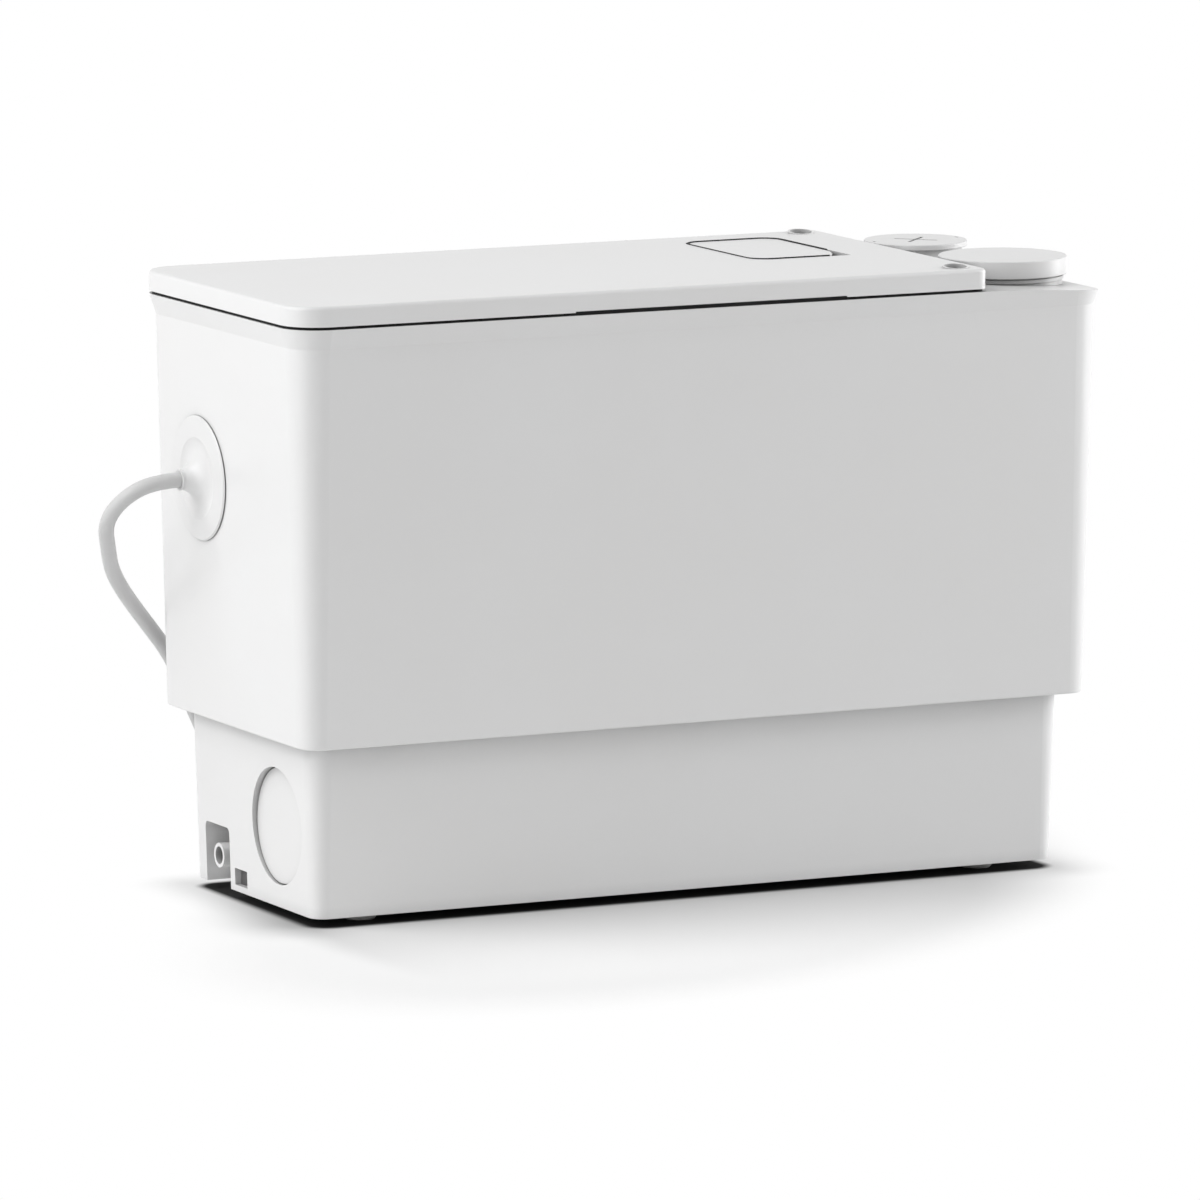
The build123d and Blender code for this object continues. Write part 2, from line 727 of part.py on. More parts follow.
# Lid with the hatch recess and the filter well
hatch_seat_z = lid_top_z - hatch_recess_sink
screw_seat_z = lid_top_z - screw_well_depth
with BuildPart() as lid:
    with BuildSketch(Plane.XY.offset(lid_z)) as lid_outline:
        with Locations((lid_middle_x, 0)):
            Rectangle(lid_length, rim_depth)
        fillet(lid_outline.vertices().group_by(Axis.X)[0], radius=rim_corner)
        fillet(lid_outline.vertices().group_by(Axis.X)[-1], radius=lid_end_corner)
    extrude(amount=lid_height)
    fillet(lid.edges().group_by(Axis.Z)[-1], radius=lid_edge_radius)
    with BuildSketch(Plane.XY.offset(lid_z)) as lid_hollow:
        with Locations((lid_middle_x, 0)):
            Rectangle(lid_length - 2 * lid_wall, rim_depth - 2 * lid_wall)
        fillet(lid_hollow.vertices().group_by(Axis.X)[0], radius=rim_corner - lid_wall)
    extrude(amount=lid_height - lid_top_thickness, mode=Mode.SUBTRACT)

    # Recess for the hatch, and the well below it with a vent hole in its floor
    with BuildSketch(Plane.XY.offset(hatch_seat_z - well_wall)):
        with Locations((hatch_x, hatch_y)):
            Rectangle(hatch_recess_length + 2 * well_wall, hatch_recess_depth + 2 * well_wall)
    extrude(amount=hatch_recess_sink)
    with BuildSketch(Plane.XY.offset(well_bottom_z)):
        with Locations((well_x, well_y)):
            RectangleRounded(well_length + 2 * well_wall, well_width + 2 * well_wall, well_corner + well_wall)
    extrude(amount=hatch_seat_z - well_bottom_z)
    with BuildSketch(Plane.XY.offset(hatch_seat_z)) as recess_outline:
        with Locations((hatch_x, hatch_y)):
            Rectangle(hatch_recess_length, hatch_recess_depth)
        fillet(recess_outline.vertices().group_by(Axis.X)[0], radius=hatch_recess_corner)
        fillet(recess_outline.vertices().sort_by(Axis.X)[-2:].sort_by(Axis.Y)[-1:], radius=hatch_recess_corner)
    extrude(amount=hatch_recess_sink, mode=Mode.SUBTRACT)
    with BuildSketch(Plane.XY.offset(well_bottom_z + well_wall)):
        with Locations((well_x, well_y)):
            RectangleRounded(well_length, well_width, well_corner)
    extrude(amount=hatch_seat_z - well_bottom_z, mode=Mode.SUBTRACT)
    with Locations((vent_x, vent_y)):
        upright(vent_radius - vent_wall, well_bottom_z - 1, well_bottom_z + well_wall + 1, Mode.SUBTRACT)

    # Bosses round the lid screws, each rising from its front edge to the back
    boss_rise = screw_boss_radius * math.tan(math.radians(screw_boss_lean))
    boss_middle_z = lid_top_z + screw_boss_front_rise + boss_rise
    for screw_y in (-lid_screw_y, lid_screw_y):
        with Locations((lid_screw_x, screw_y)):
            upright(screw_boss_radius, lid_z, boss_middle_z + boss_rise)
        boss_face = Plane(
            origin=(lid_screw_x, screw_y, boss_middle_z),
            x_dir=(1, 0, 0),
            z_dir=Vector(0, 0, 1).rotate(Axis.X, screw_boss_lean),
        )
        with BuildSketch(boss_face):
            Circle(screw_boss_radius + 0.4)
        extrude(amount=screw_boss_radius, mode=Mode.SUBTRACT)
        with Locations((lid_screw_x, screw_y)):
            upright(screw_well_radius, screw_seat_z, lid_top_z + screw_boss_radius, Mode.SUBTRACT)
            upright(lid_screw_radius + lid_screw_clearance, lid_z - 1, lid_top_z, Mode.SUBTRACT)

    # Prying slot in the middle of the front lower edge
    with Locations((0, -rim_depth / 2, lid_z)):
        Box(
            pry_slot_length,
            2 * pry_slot_depth,
            pry_slot_height,
            align=(Align.CENTER, Align.CENTER, Align.MIN),
            mode=Mode.SUBTRACT,
        )

with BuildPart() as lid_gasket:
    with BuildSketch(Plane.XY.offset(rim_z)) as gasket_outline:
        with Locations((lid_middle_x, 0)):
            Rectangle(lid_length - 2 * lid_gasket_inset, rim_depth - 2 * lid_gasket_inset)
        fillet(gasket_outline.vertices().group_by(Axis.X)[0], radius=rim_corner - lid_gasket_inset)
        fillet(gasket_outline.vertices().group_by(Axis.X)[-1], radius=lid_end_corner - lid_gasket_inset)
        offset(gasket_outline.sketch, amount=-lid_gasket_width, mode=Mode.SUBTRACT)
    extrude(amount=lid_gap)

with BuildPart() as lid_screws:
    with Locations((lid_screw_x, lid_screw_y), (lid_screw_x, -lid_screw_y)):
        upright(lid_screw_head_radius, screw_seat_z, screw_seat_z + lid_screw_head_height)
        upright(lid_screw_radius, screw_seat_z - lid_screw_length, screw_seat_z)
    fillet(lid_screws.edges().group_by(Axis.Z)[-1], radius=lid_screw_head_height / 2)
    with Locations((lid_screw_x, lid_screw_y), (lid_screw_x, -lid_screw_y)):
        upright(
            drive_socket_radius,
            screw_seat_z + lid_screw_head_height - drive_socket_depth,
            lid_top_z,
            Mode.SUBTRACT,
        )

# Hatch panel: its front right corner is cut away for a finger
hatch_under_z = lid_top_z - hatch_sink - hatch_thickness
hatch_length = hatch_recess_length - 2 * hatch_side_gap
hatch_depth = hatch_recess_depth - hatch_back_gap - hatch_front_gap
hatch_panel_y = hatch_y + (hatch_front_gap - hatch_back_gap) / 2
hatch_corner = hatch_recess_corner - hatch_side_gap
with BuildPart() as hatch:
    with BuildSketch(Plane.XY.offset(hatch_under_z)) as panel_outline:
        with Locations((hatch_x, hatch_panel_y)):
            Rectangle(hatch_length, hatch_depth)
        fillet(panel_outline.vertices().group_by(Axis.X)[0], radius=hatch_corner)
        fillet(panel_outline.vertices().group_by(Axis.X)[-1].sort_by(Axis.Y)[-1:], radius=hatch_corner)
        finger_corner = Vector(hatch_x + hatch_length / 2, hatch_panel_y - hatch_depth / 2)
        finger_side = finger_corner + Vector(0, finger_cut_length)
        finger_front = finger_corner - Vector(finger_cut_width, 0)
        with BuildLine():
            Line(finger_side, finger_corner)
            Line(finger_corner, finger_front)
            TangentArc(finger_side, finger_front, tangent=(0, -1))
        make_face(mode=Mode.SUBTRACT)
    extrude(amount=hatch_thickness)
    fillet(hatch.edges().group_by(Axis.Z)[-1], radius=hatch_edge_radius)

# Hatch seal: a bead round the well, and a lip round the panel on a thin web, open at the finger notch
hatch_seal_gap = hatch_under_z - hatch_seat_z
with BuildPart() as hatch_seal:
    with BuildSketch(Plane.XY.offset(hatch_seat_z)) as web_outline:
        with Locations((hatch_x, hatch_y)):
            Rectangle(hatch_recess_length - 2 * seal_fit, hatch_recess_depth - 2 * seal_fit)
        fillet(web_outline.vertices().group_by(Axis.X)[0], radius=hatch_recess_corner - seal_fit)
        fillet(
            web_outline.vertices().group_by(Axis.X)[-1].sort_by(Axis.Y)[-1:],
            radius=hatch_recess_corner - seal_fit,
        )
    extrude(amount=hatch_under_z + hatch_thickness - hatch_seat_z)
    with BuildSketch(Plane.XY.offset(hatch_seat_z + hatch_seal_web)) as lip_inside:
        with Locations((hatch_x, hatch_panel_y)):
            Rectangle(hatch_length + 2 * hatch_lip_clearance, hatch_depth + 2 * hatch_lip_clearance)
        fillet(lip_inside.vertices().group_by(Axis.X)[0], radius=hatch_corner + hatch_lip_clearance)
        fillet(
            lip_inside.vertices().group_by(Axis.X)[-1].sort_by(Axis.Y)[-1:],
            radius=hatch_corner + hatch_lip_clearance,
        )
    extrude(amount=hatch_recess_sink, mode=Mode.SUBTRACT)
    with BuildSketch(Plane.XY.offset(hatch_seat_z)):
        with BuildLine():
            Polyline(
                (finger_front.X, finger_front.Y - hatch_recess_depth),
                (finger_side.X + hatch_recess_length, finger_front.Y - hatch_recess_depth),
                (finger_side.X + hatch_recess_length, finger_side.Y),
                (finger_front.X, finger_side.Y),
                (finger_front.X, finger_front.Y - hatch_recess_depth),
            )
        make_face()
    extrude(amount=hatch_recess_sink, mode=Mode.SUBTRACT)
    with BuildSketch(Plane.XY.offset(hatch_seat_z)):
        with Locations((well_x, well_y)):
            RectangleRounded(
                well_length + 2 * well_lip + 2 * hatch_seal_width,
                well_width + 2 * well_lip + 2 * hatch_seal_width,
                well_corner + 2 * hatch_seal_width,
            )
    extrude(amount=hatch_seal_gap)
    with BuildSketch(Plane.XY.offset(hatch_seat_z)):
        with Locations((well_x, well_y)):
            RectangleRounded(
                well_length + 2 * well_lip,
                well_width + 2 * well_lip,
                well_corner + hatch_seal_width,
            )
    extrude(amount=hatch_seal_gap, mode=Mode.SUBTRACT)

cartridge_length = well_length - 2 * cartridge_clearance
cartridge_width = well_width - 2 * cartridge_clearance
cartridge_z = well_bottom_z + well_wall + cartridge_lift
with BuildPart() as filter_cartridge:
    with BuildSketch(Plane.XY.offset(cartridge_z)):
        with Locations((well_x, well_y)):
            RectangleRounded(cartridge_length, cartridge_width, well_corner - cartridge_clearance)
    extrude(amount=hatch_under_z - cartridge_z)
    with BuildSketch(Plane.XY.offset(cartridge_z + cartridge_wall)):
        with Locations((well_x, well_y)):
            Rectangle(cartridge_length - 2 * cartridge_wall, cartridge_width - 2 * cartridge_wall)
    extrude(amount=hatch_under_z - cartridge_z, mode=Mode.SUBTRACT)
    with Locations((well_x, well_y, cartridge_z)):
        with GridLocations(0, cartridge_width / (cartridge_slots + 1), 1, cartridge_slots):
            Box(cartridge_length * 0.6, cartridge_slot_width, 4 * cartridge_wall, mode=Mode.SUBTRACT)

with BuildPart() as carbon_block:
    with BuildSketch(Plane.XY.offset(cartridge_z + cartridge_wall)):
        with Locations((well_x, well_y)):
            Rectangle(cartridge_length - 2 * cartridge_wall - 0.2, cartridge_width - 2 * cartridge_wall - 0.2)
    extrude(amount=hatch_under_z - cartridge_z - cartridge_wall - carbon_top_gap)

# Plain cap on the top inlet port
with BuildPart() as inlet_cap:
    with Locations((inlet_port_x, inlet_port_y)):
        upright(inlet_cap_radius, inlet_cap_top_z - inlet_cap_height, inlet_cap_top_z)
    fillet(inlet_cap.edges().filter_by(GeomType.CIRCLE), radius=inlet_cap_edge_radius)
    with Locations((inlet_port_x, inlet_port_y)):
        upright(
            inlet_cap_radius - inlet_cap_wall,
            inlet_cap_top_z - inlet_cap_height - 1,
            inlet_cap_top_z - inlet_cap_top,
            Mode.SUBTRACT,
        )

with BuildPart() as inlet_cap_seal:
    with Locations((inlet_port_x, inlet_port_y)):
        upright(inlet_collar_radius - collar_step, inlet_collar_top_z, inlet_collar_top_z + inlet_seal_thickness)
        upright(
            inlet_socket_radius + collar_step,
            inlet_collar_top_z - 1,
            inlet_collar_top_z + inlet_seal_thickness + 1,
            Mode.SUBTRACT,
        )

with BuildPart() as inlet_duct:
    with Locations((inlet_port_x, inlet_port_y)):
        upright(duct_radius, compartment_z, inlet_stop_z - socket_stop_thickness)
        upright(duct_radius - duct_wall, compartment_z - 1, inlet_stop_z, Mode.SUBTRACT)

# Quarter-turn cap on the discharge port
stopper_radius = discharge_bore_radius - plug_clearance
stopper_seal_z = discharge_collar_top_z - stopper_length / 2
with BuildPart() as discharge_cap:
    with Locations((discharge_port_x, discharge_port_y)):
        upright(discharge_cap_radius, discharge_collar_top_z, discharge_cap_top_z)
    fillet(discharge_cap.edges().filter_by(GeomType.CIRCLE), radius=discharge_cap_edge_radius)
    with Locations((discharge_port_x, discharge_port_y)):
        upright(stopper_radius, discharge_collar_top_z - stopper_length, discharge_collar_top_z)
        upright(
            stopper_radius - stopper_wall,
            discharge_collar_top_z - stopper_length - 1,
            discharge_collar_top_z - stopper_wall / 2,
            Mode.SUBTRACT,
        )
    with BuildSketch(Plane.XY.offset(stopper_seal_z - stopper_seal_width / 2)):
        with Locations((discharge_port_x, discharge_port_y)):
            Circle(stopper_radius + 1)
            Circle(stopper_radius - stopper_seal_sink, mode=Mode.SUBTRACT)
    extrude(amount=stopper_seal_width, mode=Mode.SUBTRACT)
    with BuildSketch(Plane.XY.offset(discharge_cap_top_z - cross_slot_depth)):
        with Locations((discharge_port_x, discharge_port_y)):
            Rectangle(cross_slot_length, cross_slot_width, rotation=45)
            Rectangle(cross_slot_length, cross_slot_width, rotation=-45)
    extrude(amount=cross_slot_depth, mode=Mode.SUBTRACT)
    with BuildSketch(Plane.XY.offset(discharge_cap_top_z - cap_mark_depth)):
        with Locations((discharge_port_x, discharge_port_y)):
            with GridLocations(2 * cap_mark_spread, 0, 2, 1):
                Rectangle(cap_mark_width, cap_mark_length)
    extrude(amount=cap_mark_depth, mode=Mode.SUBTRACT)

with BuildPart() as discharge_cap_seal:
    with BuildSketch(Plane.XY.offset(stopper_seal_z - stopper_seal_width / 2 + pipe_fit)):
        with Locations((discharge_port_x, discharge_port_y)):
            Circle(discharge_bore_radius - cap_clearance)
            Circle(stopper_radius - stopper_seal_sink + pipe_fit, mode=Mode.SUBTRACT)
    extrude(amount=stopper_seal_width - 2 * pipe_fit)

# Blanking plugs of the two side inlets, each a cup with a seal in its groove
side_plugs = {}
side_plug_seals = {}
side_plug_radius = side_inlet_radius - plug_clearance
side_seal_setback = plug_depth - plug_seal_width - 2.5
for side_name, side in (("left", -1), ("right", 1)):
    plug_face = Plane(
        origin=(side * (tank_half_length(side_inlet_z) - plug_recess), side_inlet_y, side_inlet_z),
        x_dir=(0, 1, 0),
        z_dir=(side, 0, 0),
    )
    with BuildPart() as side_plug:
        with BuildSketch(plug_face):
            Circle(side_plug_radius)
        extrude(amount=-plug_depth)
        with BuildSketch(plug_face.offset(-plug_face_thickness)):
            Circle(side_plug_radius - plug_wall - plug_seal_sink)
        extrude(amount=-plug_depth, mode=Mode.SUBTRACT)
        with BuildSketch(plug_face.offset(-side_seal_setback)):
            Circle(side_plug_radius + 1)
            Circle(side_plug_radius - plug_seal_sink, mode=Mode.SUBTRACT)
        extrude(amount=-plug_seal_width, mode=Mode.SUBTRACT)
    with BuildPart() as side_plug_seal:
        with BuildSketch(plug_face.offset(-side_seal_setback - pipe_fit)):
            Circle(side_inlet_radius - plug_seal_clearance)
            Circle(side_plug_radius - plug_seal_sink + pipe_fit, mode=Mode.SUBTRACT)
        extrude(amount=-(plug_seal_width - 2 * pipe_fit))
    side_plugs[side_name] = side_plug
    side_plug_seals[side_name] = side_plug_seal

# Volute: three quarter arcs of growing radius, then the straight nozzle
volute_top_z = volute_z + volute_height


def volute_outline(inset):
    """The spiral's outline, drawn in by a wall thickness."""
    start_radius = volute_small_radius - inset
    middle_radius = start_radius + volute_growth
    end_radius = middle_radius + volute_growth
    start_centre = Vector(pump_x - volute_growth / 2, pump_y - volute_growth)
    middle_centre = start_centre + Vector(0, volute_growth)
    end_centre = middle_centre + Vector(volute_growth, 0)
    tongue = Vector(pump_x + volute_small_radius - inset - 4, nozzle_y - nozzle_radius + inset)
    nozzle_outer = Vector(pump_x + volute_small_radius + 10, end_centre.Y + end_radius)
    nozzle_inner = Vector(nozzle_outer.X, tongue.Y)
    with BuildSketch(Plane.XY.offset(volute_z)) as outline:
        with BuildLine():
            first = CenterArc(start_centre, start_radius, 0, -90)
            second = CenterArc(middle_centre, middle_radius, -90, -90)
            third = CenterArc(end_centre, end_radius, 180, -90)
            Polyline(third @ 1, nozzle_outer, nozzle_inner, tongue, first @ 0)
        make_face()
    return outline.sketch


nozzle_z = volute_z + nozzle_radius
with BuildPart() as volute:
    extrude(volute_outline(0), amount=volute_height)
    nozzle_plane = Plane(origin=(pump_x + volute_small_radius, nozzle_y, nozzle_z), z_dir=(1, 0, 0))
    nozzle_length = nozzle_end_x - pump_x - volute_small_radius
    with BuildSketch(nozzle_plane):
        Circle(nozzle_radius)
    extrude(amount=nozzle_length)
    extrude(
        volute_outline(volute_wall).moved(Location((0, 0, volute_wall))),
        amount=volute_height - 2 * volute_wall,
        mode=Mode.SUBTRACT,
    )
    with BuildSketch(nozzle_plane):
        Circle(nozzle_bore_radius)
    extrude(amount=nozzle_length, mode=Mode.SUBTRACT)
    with BuildSketch(nozzle_plane.offset(nozzle_length - nozzle_socket_length)):
        Circle(spigot_radius + pipe_fit)
    extrude(amount=nozzle_socket_length, mode=Mode.SUBTRACT)
    with Locations((pump_x, pump_y)):
        upright(suction_radius, volute_z - 1, volute_z + volute_wall + 1, Mode.SUBTRACT)
        upright(volute_mouth_radius, volute_top_z - volute_wall - 1, volute_top_z + 1, Mode.SUBTRACT)

strainer_z = tank_inside_z + strainer_floor_gap
with BuildPart() as strainer:
    with Locations((pump_x, pump_y)):
        upright(strainer_radius, strainer_z, volute_z)
        upright(strainer_radius - strainer_wall, strainer_z - 1, volute_z - strainer_wall, Mode.SUBTRACT)
        upright(suction_radius, strainer_z - 1, volute_z + 1, Mode.SUBTRACT)
    with Locations((pump_x, pump_y, strainer_z)):
        with PolarLocations(strainer_radius, strainer_slots):
            Box(4 * strainer_wall, strainer_slot_width, 2 * (volute_z - strainer_z - strainer_wall), mode=Mode.SUBTRACT)

# Rotating set: impeller, nut, shaft and rotor
impeller_top_z = volute_top_z - impeller_top_gap
impeller_z = impeller_top_z - impeller_height
nut_z = impeller_z - nut_height
with BuildPart() as impeller:
    with Locations((pump_x, pump_y)):
        upright(impeller_radius, impeller_top_z - impeller_disc, impeller_top_z)
        upright(impeller_hub_radius, impeller_z, impeller_top_z)
    with BuildSketch(Plane(origin=(pump_x, pump_y, impeller_z))):
        with BuildLine(mode=Mode.PRIVATE) as vane_line:
            ThreePointArc(
                (impeller_hub_radius - 1, 0),
                (impeller_radius * 0.6, impeller_radius * 0.12),
                (impeller_radius * 0.88, impeller_radius * 0.36),
            )
        with PolarLocations(0, impeller_vanes):
            SlotArc(vane_line.edge(), vane_thickness)
    extrude(amount=impeller_height - impeller_disc)
    with Locations((pump_x, pump_y)):
        upright(shaft_end_radius + pipe_fit, impeller_z - 1, impeller_top_z + 1, Mode.SUBTRACT)

with BuildPart() as impeller_nut:
    with BuildSketch(Plane.XY.offset(nut_z)):
        with Locations((pump_x, pump_y)):
            RegularPolygon(nut_radius, 6)
            Circle(shaft_end_radius + pipe_fit, mode=Mode.SUBTRACT)
    extrude(amount=nut_height)

# Neck that carries the pump under the motor and holds the seal and lower bearing
neck_z = volute_top_z
motor_foot_z = compartment_z + damper_thickness
motor_z = motor_foot_z + neck_flange_thickness
lower_bearing_z = motor_foot_z - bearing_height
with BuildPart() as seal_housing:
    with Locations((pump_x, pump_y)):
        upright(neck_flange_radius, neck_z, neck_z + neck_flange_thickness)
        upright(neck_radius, neck_z, motor_foot_z)
        upright(neck_flange_radius, motor_foot_z, motor_z)
        upright(seal_chamber_radius, neck_z - 1, lower_bearing_z - 3, Mode.SUBTRACT)
        upright(shaft_radius + 3, neck_z, motor_z + 1, Mode.SUBTRACT)
        upright(lower_bearing_radius, lower_bearing_z, motor_z + 1, Mode.SUBTRACT)

with BuildPart() as shaft_seal:
    with Locations((pump_x, pump_y)):
        upright(seal_chamber_radius - pipe_fit, seal_z, seal_z + seal_height / 2)
        upright(shaft_radius + 4, seal_z, seal_z + seal_height)
        upright(shaft_radius + running_clearance, seal_z - 1, seal_z + seal_height + 1, Mode.SUBTRACT)

motor_top_z = motor_z + motor_height
upper_bearing_z = motor_top_z
with BuildPart() as bearings:
    with Locations((pump_x, pump_y)):
        upright(lower_bearing_radius - pipe_fit, lower_bearing_z, lower_bearing_z + bearing_height)
        upright(shaft_radius + running_clearance, lower_bearing_z - 1, motor_z, Mode.SUBTRACT)
        upright(upper_bearing_radius - pipe_fit, upper_bearing_z, upper_bearing_z + end_cap_height - end_cap_top)
        upright(shaft_radius + running_clearance, upper_bearing_z - 1, motor_top_z + end_cap_height, Mode.SUBTRACT)

shaft_top_z = motor_top_z + end_cap_height - end_cap_top - 1
with BuildPart() as shaft:
    with Locations((pump_x, pump_y)):
        upright(shaft_end_radius, nut_z - 1, impeller_top_z)
        upright(shaft_radius, impeller_top_z, shaft_top_z)

stator_z = motor_z + (motor_height - stator_height) / 2
with BuildPart() as rotor:
    with Locations((pump_x, pump_y)):
        upright(rotor_radius, stator_z - 2, stator_z + stator_height + 2)
        upright(shaft_radius + pipe_fit, stator_z - 3, stator_z + stator_height + 3, Mode.SUBTRACT)

with BuildPart() as motor_shell:
    with Locations((pump_x, pump_y)):
        upright(motor_radius, motor_z, motor_top_z)
        upright(motor_radius - motor_shell_wall, motor_z - 1, motor_top_z + 1, Mode.SUBTRACT)

with BuildPart() as stator:
    with Locations((pump_x, pump_y)):
        upright(motor_radius - motor_shell_wall - stator_fit, stator_z, stator_z + stator_height)
        upright(rotor_radius + air_gap, stator_z - 1, stator_z + stator_height + 1, Mode.SUBTRACT)

with BuildPart() as stator_windings:
    for winding_z in (stator_z - winding_height, stator_z + stator_height):
        with Locations((pump_x, pump_y)):
            upright(motor_radius - motor_shell_wall - winding_margin, winding_z, winding_z + winding_height)
            upright(rotor_radius + winding_margin, winding_z - 1, winding_z + winding_height + 1, Mode.SUBTRACT)

with BuildPart() as motor_end_cap:
    with Locations((pump_x, pump_y)):
        upright(motor_radius, motor_top_z, motor_top_z + end_cap_height)
    fillet(motor_end_cap.edges().group_by(Axis.Z)[-1], radius=2)
    with Locations((pump_x, pump_y)):
        upright(motor_radius - 2 * motor_shell_wall, motor_top_z - 1, motor_top_z + end_cap_height - end_cap_top, Mode.SUBTRACT)
        upright(upper_bearing_radius + 3, motor_top_z, motor_top_z + end_cap_height - end_cap_top)
        upright(upper_bearing_radius, motor_top_z - 1, motor_top_z + end_cap_height - end_cap_top, Mode.SUBTRACT)
    with Locations((pump_x, pump_y, motor_top_z + end_cap_height)):
        with PolarLocations(motor_radius * 0.55, end_cap_ribs):
            Box(motor_radius * 0.6, 2, 2, align=(Align.CENTER, Align.CENTER, Align.MIN))

with BuildPart() as motor_damper:
    with Locations((pump_x, pump_y)):
        upright(neck_flange_radius - 2, compartment_z, motor_foot_z)
        upright(neck_radius + neck_clearance + 1, compartment_z - 1, motor_foot_z + 1, Mode.SUBTRACT)

with BuildPart() as pump_screws:
    with Locations((pump_x, pump_y, neck_z + neck_flange_thickness)):
        with PolarLocations((neck_radius + neck_flange_radius) / 2 + 4, 4, start_angle=45):
            Cylinder(
                pump_screw_head_radius,
                pump_screw_head_height,
                align=(Align.CENTER, Align.CENTER, Align.MIN),
            )
    with Locations((pump_x, pump_y, motor_top_z + end_cap_height)):
        with PolarLocations(motor_radius - 6, 4, start_angle=360 / end_cap_ribs / 2):
            Cylinder(
                pump_screw_head_radius,
                pump_screw_head_height,
                align=(Align.CENTER, Align.CENTER, Align.MIN),
            )

# Discharge pipe with one bend, up through the partition into the check valve
pipe_start = Vector(nozzle_end_x - nozzle_socket_length + 1, riser_y, nozzle_z)
pipe_corner = Vector(riser_x, riser_y, nozzle_z)
pipe_end = Vector(riser_x, riser_y, valve_socket_z + valve_socket_depth)
with BuildPart() as discharge_pipe:
    with BuildLine():
        FilletPolyline(pipe_start, pipe_corner, pipe_end, radius=pipe_bend)
    with BuildSketch(Plane(origin=pipe_start, z_dir=(1, 0, 0))):
        Circle(spigot_radius)
        Circle(spigot_radius - pipe_wall, mode=Mode.SUBTRACT)
    sweep()

# Check valve: base with the seat and two ears, cover with the hose spigot
valve_seat_z = valve_socket_z + valve_socket_depth + valve_seat_thickness
pin_x = riser_x - flap_pin_from_axis
pin_z = valve_seat_z + flap_pin_height
ear_y = knuckle_width / 2 + ear_gap + ear_thickness / 2
with BuildPart() as valve_base:
    with Locations((riser_x, riser_y)):
        upright(spigot_radius + valve_socket_wall, valve_socket_z, valve_seat_z)
        upright(valve_flange_radius, valve_seat_z - valve_flange_thickness, valve_seat_z)
        upright(valve_seat_radius + 2, valve_seat_z, valve_seat_z + valve_seat_rim)
        upright(spigot_radius + pipe_fit, valve_socket_z - 1, valve_socket_z + valve_socket_depth, Mode.SUBTRACT)
        upright(valve_seat_radius, valve_socket_z, valve_seat_z + valve_seat_rim + 1, Mode.SUBTRACT)
    for ear_side in (-1, 1):
        with BuildSketch(Plane.XZ.offset(-(riser_y + ear_side * ear_y) - ear_thickness / 2)):
            with Locations((pin_x, valve_seat_z)):
                Rectangle(2 * knuckle_radius, 2 * flap_pin_height)
            with Locations((pin_x, pin_z)):
                Circle(knuckle_radius)
                Circle(flap_pin_radius + 0.05, mode=Mode.SUBTRACT)
        extrude(amount=ear_thickness)

valve_top_z = valve_seat_z + valve_chamber_height
with BuildPart() as valve_cover:
    with Locations((riser_x, riser_y)):
        upright(valve_flange_radius, valve_seat_z, valve_seat_z + valve_flange_thickness)
        upright(valve_chamber_radius + valve_chamber_wall, valve_seat_z, valve_top_z)
        upright(spigot_radius, valve_top_z, valve_top_z + valve_spigot_length)
        upright(valve_chamber_radius, valve_seat_z - 1, valve_top_z - valve_chamber_wall, Mode.SUBTRACT)
        upright(spigot_bore_radius, valve_seat_z, valve_top_z + valve_spigot_length + 1, Mode.SUBTRACT)

with BuildPart() as valve_flap:
    flap_z = valve_seat_z + valve_seat_rim
    with Locations((riser_x, riser_y)):
        upright(flap_radius, flap_z, flap_z + flap_thickness)
    with BuildSketch(Plane.XY.offset(flap_z)):
        with Locations(((pin_x + riser_x) / 2, riser_y)):
            Rectangle(riser_x - pin_x, knuckle_width)
    extrude(amount=flap_thickness)
    with BuildSketch(Plane.XZ.offset(-riser_y - knuckle_width / 2)):
        with Locations((pin_x, pin_z)):
            Circle(knuckle_radius)
    extrude(amount=knuckle_width)
    with BuildSketch(Plane.XZ.offset(-riser_y - knuckle_width / 2)):
        with Locations((pin_x, pin_z)):
            Circle(flap_pin_radius + running_clearance)
    extrude(amount=knuckle_width, mode=Mode.SUBTRACT)

with BuildPart() as flap_pin:
    with BuildSketch(Plane.XZ.offset(-riser_y - flap_pin_length / 2)):
        with Locations((pin_x, pin_z)):
            Circle(flap_pin_radius)
    extrude(amount=flap_pin_length)

# Rubber hose from the valve up to the discharge port's spigot
hose_inner_radius = spigot_radius + pipe_fit
hose_outer_radius = hose_inner_radius + hose_wall
hose_start = Vector(riser_x, riser_y, valve_top_z + 1)
hose_end = Vector(discharge_port_x, discharge_port_y, deck_under_z - 12)
hose_points = [
    hose_start,
    hose_start + Vector(0, 0, hose_straight),
    hose_end - Vector(0, 0, hose_straight),
    hose_end,
]
with BuildPart() as riser_hose:
    with BuildLine():
        FilletPolyline(*hose_points, radius=hose_bend)
    with BuildSketch(Plane.XY.offset(hose_start.Z)):
        with Locations((riser_x, riser_y)):
            Circle(hose_outer_radius)
            Circle(hose_inner_radius, mode=Mode.SUBTRACT)
    sweep()

with BuildPart() as hose_clamps:
    for clamp_centre in (hose_start + Vector(0, 0, 7), hose_end - Vector(0, 0, 7)):
        with BuildSketch(Plane.XY.offset(clamp_centre.Z - clamp_width / 2)):
            with Locations((clamp_centre.X, clamp_centre.Y)):
                Circle(hose_outer_radius + pipe_fit + clamp_thickness)
                Circle(hose_outer_radius + pipe_fit, mode=Mode.SUBTRACT)
        extrude(amount=clamp_width)
        with Locations(clamp_centre + Vector(0, hose_outer_radius + clamp_thickness + clamp_screw_radius, 0)):
            Cylinder(clamp_screw_radius, clamp_screw_length, rotation=(0, 90, 0))

